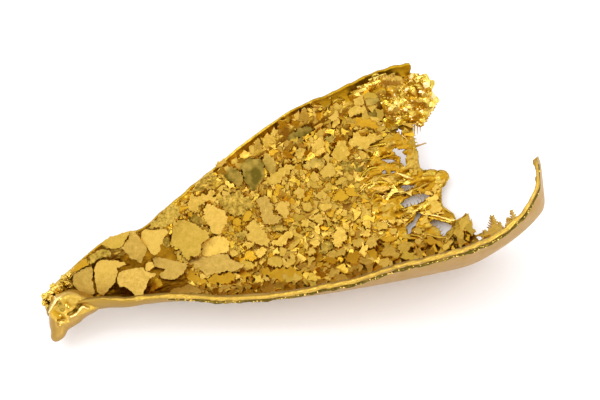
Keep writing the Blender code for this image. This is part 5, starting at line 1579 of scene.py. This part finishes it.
# Number of the finish, tone, flatness, then the path: along, across, rise over the wall, half width.
# Finish 2 is the pale gold of a painted highlight.
RIBS = (
    (0, 0.0, 0.8, ((26.2, -1.75, 0.5, 0.07), (26.55, -1.4, 0.55, 0.08), (26.85, -1.1, 0.6, 0.09),
        (27.3, -1.25, 0.6, 0.08), (27.65, -1.45, 0.6, 0.1), (28.1, -1.7, 0.55, 0.08), (28.6, -1.9, 0.4, 0.09),
        (29.4, -1.97, 0.25, 0.12), (30.3, -1.97, 0.2, 0.14), (31.0, -1.9, 0.2, 0.14))),
    (0, 0.0, 0.8, ((27.78, -1.1, 0.55, 0.03), (27.65, -1.4, 0.62, 0.08), (27.4, -1.85, 0.5, 0.05))),
    (1, 0.4, 0.5, ((25.8, -0.7, 0.35, 0.08), (26.6, -0.35, 0.4, 0.14), (27.5, -0.5, 0.35, 0.14),
        (28.3, -0.9, 0.3, 0.13), (29.2, -1.15, 0.2, 0.13), (30.1, -1.4, 0.2, 0.14), (31.0, -1.5, 0.1, 0.1))),
    (2, 0.0, 0.8, ((28.9, -0.3, 0.3, 0.06), (29.25, -0.5, 0.35, 0.13), (29.6, -0.9, 0.35, 0.16),
        (30.05, -1.2, 0.25, 0.08))),
    (0, 0.1, 0.6, ((27.3, 0.05, 0.3, 0.06), (28.2, -0.15, 0.35, 0.1), (28.9, -0.35, 0.3, 0.1),
        (29.3, -0.6, 0.2, 0.1))),
    (1, 0.3, 0.6, ((26.2, 0.3, 0.3, 0.08), (27.2, 0.75, 0.35, 0.12), (28.1, 0.5, 0.3, 0.1), (28.9, 0.2, 0.25, 0.1),
        (29.5, -0.1, 0.2, 0.08))),
    (1, 0.5, 0.6, ((27.0, 1.6, 0.3, 0.06), (27.8, 1.3, 0.3, 0.1), (28.6, 1.05, 0.25, 0.1), (29.2, 0.75, 0.2, 0.07),
        (29.55, 0.4, 0.15, 0.05))),
    (2, 0.1, 0.8, ((28.3, 1.9, 0.35, 0.05), (28.8, 1.65, 0.35, 0.09), (29.1, 1.2, 0.3, 0.06), (29.4, 0.85, 0.2, 0.05),
        (29.5, 0.5, 0.2, 0.03))),
    (1, 0.6, 0.6, ((27.7, 2.35, 0.3, 0.08), (28.6, 2.2, 0.35, 0.15), (29.4, 1.95, 0.3, 0.16), (30.0, 1.95, 0.2, 0.13),
        (30.6, 2.2, 0.2, 0.1))),
    (0, 0.1, 0.8, ((30.75, 2.9, 0.1, 0.1), (30.95, 2.3, 0.15, 0.14), (31.1, 1.8, 0.15, 0.1), (31.0, 1.2, 0.15, 0.14),
        (30.75, 0.6, 0.15, 0.13), (30.65, 0.1, 0.15, 0.12), (30.75, -0.5, 0.1, 0.1), (30.95, -0.85, 0.1, 0.08))),
    (0, 0.0, 0.9, ((30.5, 1.1, 0.1, 0.2), (31.2, 1.12, 0.1, 0.13), (31.98, 1.05, 0.1, 0.02))),
    (2, 0.0, 0.9, ((30.35, 2.35, 0.3, 0.04), (30.5, 2.1, 0.35, 0.07), (30.68, 1.75, 0.3, 0.03))),
    (0, 0.0, 0.9, ((30.9, -0.85, 0.05, 0.07), (31.6, -1.12, 0.08, 0.08), (32.3, -1.42, 0.1, 0.09),
        (32.62, -1.75, 0.1, 0.1), (32.5, -2.05, 0.1, 0.09), (32.0, -2.35, 0.08, 0.08), (31.72, -2.65, 0.08, 0.08),
        (31.5, -3.2, 0.08, 0.08), (31.38, -3.9, 0.08, 0.09), (31.6, -4.35, 0.1, 0.1), (31.88, -4.75, 0.1, 0.1),
        (31.95, -5.15, 0.1, 0.08))),
    (1, 0.2, 0.6, ((28.4, -3.2, 0.25, 0.06), (29.3, -3.12, 0.3, 0.09), (30.0, -3.25, 0.3, 0.1),
        (30.7, -3.12, 0.2, 0.1), (31.1, -2.9, 0.15, 0.08))),
    (0, 0.0, 1.0, ((28.15, -4.05, 0.3, 0.04), (28.12, -3.65, 0.4, 0.06), (28.5, -3.45, 0.45, 0.06),
        (29.0, -3.6, 0.4, 0.05))),
    (1, 0.2, 1.0, ((28.35, -4.0, 0.25, 0.05), (28.5, -3.72, 0.3, 0.05), (28.8, -3.9, 0.25, 0.05))),
    (2, 0.0, 0.8, ((29.9, -3.95, 0.3, 0.05), (30.4, -4.3, 0.35, 0.08), (30.85, -4.6, 0.35, 0.07),
        (31.3, -4.95, 0.3, 0.09), (31.75, -5.28, 0.25, 0.1), (31.98, -5.3, 0.1, 0.05))),
    (1, 0.4, 0.6, ((30.0, -4.3, 0.2, 0.08), (30.8, -4.85, 0.2, 0.1), (31.6, -5.45, 0.15, 0.08))),
    (0, 0.2, 0.6, ((29.0, -5.3, 0.3, 0.08), (29.6, -5.6, 0.3, 0.12), (30.3, -6.1, 0.25, 0.12),
        (31.0, -6.35, 0.2, 0.1))),
    (0, 0.0, 0.8, ((28.3, -5.1, 0.35, 0.07), (28.9, -5.5, 0.4, 0.1), (29.2, -6.2, 0.3, 0.08))),
    (0, 0.1, 0.7, ((29.9, -4.95, 0.2, 0.06), (30.15, -5.4, 0.25, 0.09), (30.2, -5.8, 0.2, 0.08))),
    (0, 0.1, 0.7, ((30.6, -6.6, 0.3, 0.1), (31.6, -6.1, 0.3, 0.14), (32.3, -5.8, 0.2, 0.14),
        (32.9, -5.15, 0.1, 0.06))),
    (0, 0.0, 0.8, ((31.9, -5.35, 0.1, 0.05), (32.4, -5.3, 0.1, 0.08), (32.9, -5.08, 0.1, 0.05))),
    (2, 0.0, 0.8, ((26.72, -3.3, 0.5, 0.03), (26.9, -3.65, 0.5, 0.05), (27.12, -4.0, 0.45, 0.03))),
    (0, 0.0, 1.0, ((27.15, 5.05, 0.3, 0.06), (27.2, 5.6, 0.35, 0.09), (27.45, 5.95, 0.3, 0.08),
        (27.9, 6.05, 0.25, 0.07), (28.2, 5.75, 0.25, 0.07), (28.45, 5.2, 0.25, 0.06))),
    (0, 0.0, 1.0, ((29.75, 6.0, 0.25, 0.06), (29.85, 6.35, 0.25, 0.08), (30.2, 6.55, 0.2, 0.08),
        (30.7, 6.45, 0.2, 0.07), (31.2, 6.2, 0.2, 0.07), (31.6, 5.95, 0.2, 0.06))),
)
print(len(RIBS), "ribs are drawn")

# %% [markdown]
# Needles grow from the ribs side by side, like the teeth of a comb. Ferns stand up from the near rim where
# the wall is missing: a stem, and pairs of leaves that grow shorter towards its tip. Bubbles that burst in
# the growing gold left raised rims, which are rings of the same tube.

# %% Combs, ferns and bubbles
def comb(start, end, needles, way, length, half, rise):
    """Paths of a row of needles between two drawn points, all pointing one way."""
    paths = []
    for k in range(needles):
        t = k / (needles - 1)
        x, y = start[0] + (end[0] - start[0]) * t, start[1] + (end[1] - start[1]) * t
        reach = length * (0.75 + 0.5 * math.sin(k * 2.4) ** 2)
        paths.append(((x, y, rise, half), (x + way[0] * reach * 0.6, y + way[1] * reach * 0.6, rise, half * 0.8),
                      (x + way[0] * reach, y + way[1] * reach, rise - 0.03, 0.01)))
    return paths


# Start, end, how many, direction, length, half width, rise.
COMBS = (
    ((28.3, -2.0), (30.9, -2.1), 11, (0.1, -1), 0.55, 0.055, 0.2),
    ((28.6, -1.85), (30.0, -1.85), 8, (0.1, 1), 0.28, 0.04, 0.25),
    ((28.3, -3.1), (30.9, -3.0), 10, (0, 1), 0.25, 0.045, 0.2),
    ((28.0, 0.5), (29.3, 0.05), 7, (0.3, -1), 0.35, 0.04, 0.25),
    ((28.2, 0.6), (29.3, 0.2), 7, (0.3, 1), 0.3, 0.04, 0.25),
    ((30.1, -5.0), (30.5, -6.0), 5, (1, 0.3), 0.35, 0.045, 0.2),
    ((28.7, -5.0), (29.2, -6.3), 6, (1, 0.25), 0.4, 0.05, 0.3),
    ((30.7, -6.5), (32.3, -5.95), 8, (0.3, -1), 0.3, 0.05, 0.25),
    ((31.0, 2.6), (31.15, 1.4), 5, (1, -0.3), 0.25, 0.05, 0.1),
    ((31.2, 2.9), (32.0, 2.5), 5, (-0.4, -1), 0.6, 0.05, 0.1),
)


def fern(stem, tip, pairs, spread, half):
    """Paths of a fern: a stem and pairs of leaves that grow shorter towards its tip."""
    way = Vector(tip) - Vector(stem)
    out = Vector((-way.y, way.x)).normalized()
    paths = [((*stem, 0.15, half * 1.6), (*tip, 0.15, 0.012))]
    for k in range(pairs):
        t = (k + 0.4) / pairs
        foot = Vector(stem) + way * t * 0.9
        for side in (1, -1):
            end = foot + out * side * spread * (1 - 0.8 * t) + way.normalized() * spread * 0.55
            paths.append(((*foot, 0.15, half), (*foot.lerp(end, 0.6), 0.16, half * 0.9), (*end, 0.14, 0.012)))
    return paths


# Stem, tip, pairs of leaves, spread, half width.
FERNS = (
    ((33.75, -7.3), (33.7, -6.80), 4, 0.35, 0.07),
    ((34.4, -7.1), (34.68, -5.95), 6, 0.58, 0.095),
    ((34.9, -7.2), (35.0, -6.6), 4, 0.32, 0.09),
    ((35.6, -7.1), (35.75, -6.5), 4, 0.32, 0.09),
    ((36.1, -6.9), (36.2, -6.05), 4, 0.38, 0.09),
    ((32.35, -6.4), (32.95, -5.1), 7, 0.5, 0.10),
)
# Rims of burst bubbles: middle, half length, half width, half thickness, rise over the wall.
BUBBLES = (
    (30.05, 7.10, 0.30, 0.26, 0.07, 0.55), (26.2, 7.0, 0.15, 0.14, 0.05, 0.3), (24.7, 6.95, 0.11, 0.10, 0.045, 0.3),
    (26.65, 6.35, 0.42, 0.24, 0.06, 0.3), (26.9, 5.35, 0.17, 0.20, 0.05, 0.4), (28.75, 6.7, 0.10, 0.10, 0.04, 0.40),
)


def bubble(along, across, wide, deep, half, rise):
    """The closed path round a bubble's rim."""
    turns = [k * math.tau / 12 for k in range(13)]
    return tuple((along + wide * math.cos(t), across + deep * math.sin(t), rise, half) for t in turns)


print(len(COMBS), "combs,", len(FERNS), "ferns and", len(BUBBLES), "bubbles are drawn")

# %% [markdown]
# The ribs stand on a thin sheet with fine lengthways folds, cut to the lace and its holes. It is orange
# gold where it is smooth, and its valleys are painted brown and deeper as shade. Bright grains sparkle along
# the ribs, some of them in the pale gold of a painted highlight.

# %% The lace
LACE_OUTLINE = (
    (26.3, -4.6), (26.0, -3.0), (26.4, -1.5), (26.0, 0.2), (26.8, 1.3), (27.2, 2.3), (28.6, 2.5), (29.6, 2.9),
    (30.8, 3.0), (31.3, 2.6), (31.1, 1.5), (31.05, 0.6), (30.8, -0.2), (30.8, -0.75), (31.3, -0.95), (32.0, -1.25),
    (32.6, -1.55), (32.6, -1.9), (32.3, -2.2), (31.75, -2.55), (31.5, -3.2), (31.35, -3.9), (31.5, -4.35),
    (31.85, -4.8), (31.9, -5.3), (31.0, -5.9), (30.2, -6.0), (28.6, -5.6), (27.4, -5.1),
)
LACE_FOLDS = ((0.8, 0.5), (1.9, 0.35), (4.0, 0.18))
LACE_GRAINS, LACE_SEED = 170, 73
RIB_TONE = 0.5  # ribs are deeper gold than plates
LACE_FINISHES = [PLATE_FACE, GLINT, PAINTED_HIGHLIGHT_GOLD, ORANGE_FACE, PAINTED_SHADE_TRENCH]


def lace_look(spot, fold):
    """Finish and tone of the lace: smooth orange gold, with bright and with pale patches, and brown and a deeper tone
    in its valleys as painted shade.
    """
    patch = noise.noise(spot * 1.3)
    finish = 4 if fold < -0.25 and patch < 0.3 else 1 if patch > 0.36 else 0 if patch < -0.3 else 3
    return finish, held(0.65 - 0.55 * fold)


def rib_jobs():
    """Tubes for the bubbles' rims, the ribs and all needles."""
    jobs = []
    for row in BUBBLES:
        # Painted shade: the bubbles' rims take a deep tone, for the dark ring round each.
        jobs.append((add_tube, over_wall(bubble(*row), 24), 0.5, 1, 6))
    for finish, tone, flat, path in RIBS:
        jobs.append((add_tube, over_wall(path, 4 * len(path)), tone + RIB_TONE, finish, 6, flat))
    needles = [path for row in COMBS for path in comb(*row)] + [path for row in FERNS for path in fern(*row)]
    for path in needles:
        jobs.append((add_tube, over_wall(path, 4), 0.1, 0, 5, 0.8))
    return jobs


def lace_sparkles():
    """Bright grains along the ribs and between them."""
    draw = random.Random(LACE_SEED)
    rows = [path for _, _, _, path in RIBS]
    jobs = []
    while len(jobs) < LACE_GRAINS:
        path = draw.choice(rows)
        x, y, rise, half = smooth_rows(path, round(draw.random(), 2))
        x, y = x + draw.gauss(0, 0.12), y + draw.gauss(0, 0.12)
        if not clear_of_holes((x, y)):
            continue
        spot = Vector((x, y, height_at(x, y, WALL) + rise + half * 0.8))
        # Some sparkles take the pale gold of a painted highlight.
        size, finish = draw.uniform(0.035, 0.095), draw.choice((1, 1, 2))
        jobs.append((add_grain, spot, size, draw, 0.0, finish))
    return jobs


lace_bm = bmesh.new()
add_sheet(lace_bm, LACE_OUTLINE, LACE_HOLES, 0.08, 2.2, LACE_FOLDS, lift=0.10, deep=0.20, look=lace_look)
make_piece("ribs", joined([in_batches(rib_jobs() + lace_sparkles()), lace_bm]), LACE_FINISHES, smooth=True)

# %% [markdown]
# ## The near rim
# A bead runs all along the near rim, where the gold crept over the edge of its ring. Under it lies a thin,
# glittering crease, painted dark as shade, and below that the smooth print of the glass. Both are tubes
# whose paths are measured from the rim, so they follow it wherever it climbs.

# %% The bead and the crease of the near rim
RIM_STEPS, RIM_END = 300, 0.975  # the share of the profile at which both end
CREASE_GRAINS, CREASE_SEED = 220, 41


def along_near_rim(first, down, inward, half, waver, wobble=0.6):
    """Points along the near rim, down from its edge and in from the outer face."""
    points = []
    for k in range(RIM_STEPS + 1):
        share = first + (RIM_END - first) * k / RIM_STEPS
        edge = wall_point(share, -1.0)
        axis = Vector((edge.x, sway(edge.x), 0))
        out = (edge - axis).normalized()
        below = Vector((0, out.z, -out.y))
        width = half * (1 + wobble * noise.noise(Vector((edge.x * 1.3, 0, half * 50))))
        width *= 1 + 0.5 * wobble * noise.noise(Vector((edge.x * 4.0, 3, half * 50)))
        width *= min(1.0, 0.15 + k / 30) * (1 - 0.35 * max(share - 0.8, 0) / 0.2)
        down_here = down - waver * noise.noise(Vector((edge.x * 2.3, 9, 0)))
        points.append((edge - out * inward - below * down_here, width))
    smoothed = []
    for k, (_, width) in enumerate(points):
        around = [spot for spot, _ in points[max(k - 1, 0):k + 2]]
        smoothed.append((sum(around, Vector()) / len(around), width))
    return smoothed


def bead_jobs():
    """The bead, the crease whose dark finish is painted shade, and the grains that glitter in it."""
    draw = random.Random(CREASE_SEED)
    bead_path = along_near_rim(share_of(4.2), down=0.0, inward=0.17, half=0.175, waver=0.14)
    painted_shade_crease_path = along_near_rim(share_of(9.0), down=0.25, inward=-0.02, half=0.15, waver=0.12)
    # Painted shade: the crease tube and some of its grains take the dark finish and a deep tone.
    jobs = [(add_tube, bead_path, 0.0, 0, 9), (add_tube, painted_shade_crease_path, 0.6, 1, 6)]
    for _ in range(CREASE_GRAINS):
        spot, half = draw.choice(painted_shade_crease_path)
        way = Vector((draw.gauss(0, 1), draw.gauss(0, 0.6) - 0.3, abs(draw.gauss(0, 1)) + 0.4)).normalized()
        size, finish = draw.uniform(0.04, 0.11), draw.choice((1, 2, 2))
        jobs.append((add_grain, spot + way * half, size, draw, draw.uniform(-0.2, 0.5), finish))
    return jobs


make_piece("rim_bead", in_batches(bead_jobs()), [PLATE_FACE, PAINTED_DARK_REFLECTION_AND_SHADE, GLINT], smooth=True)
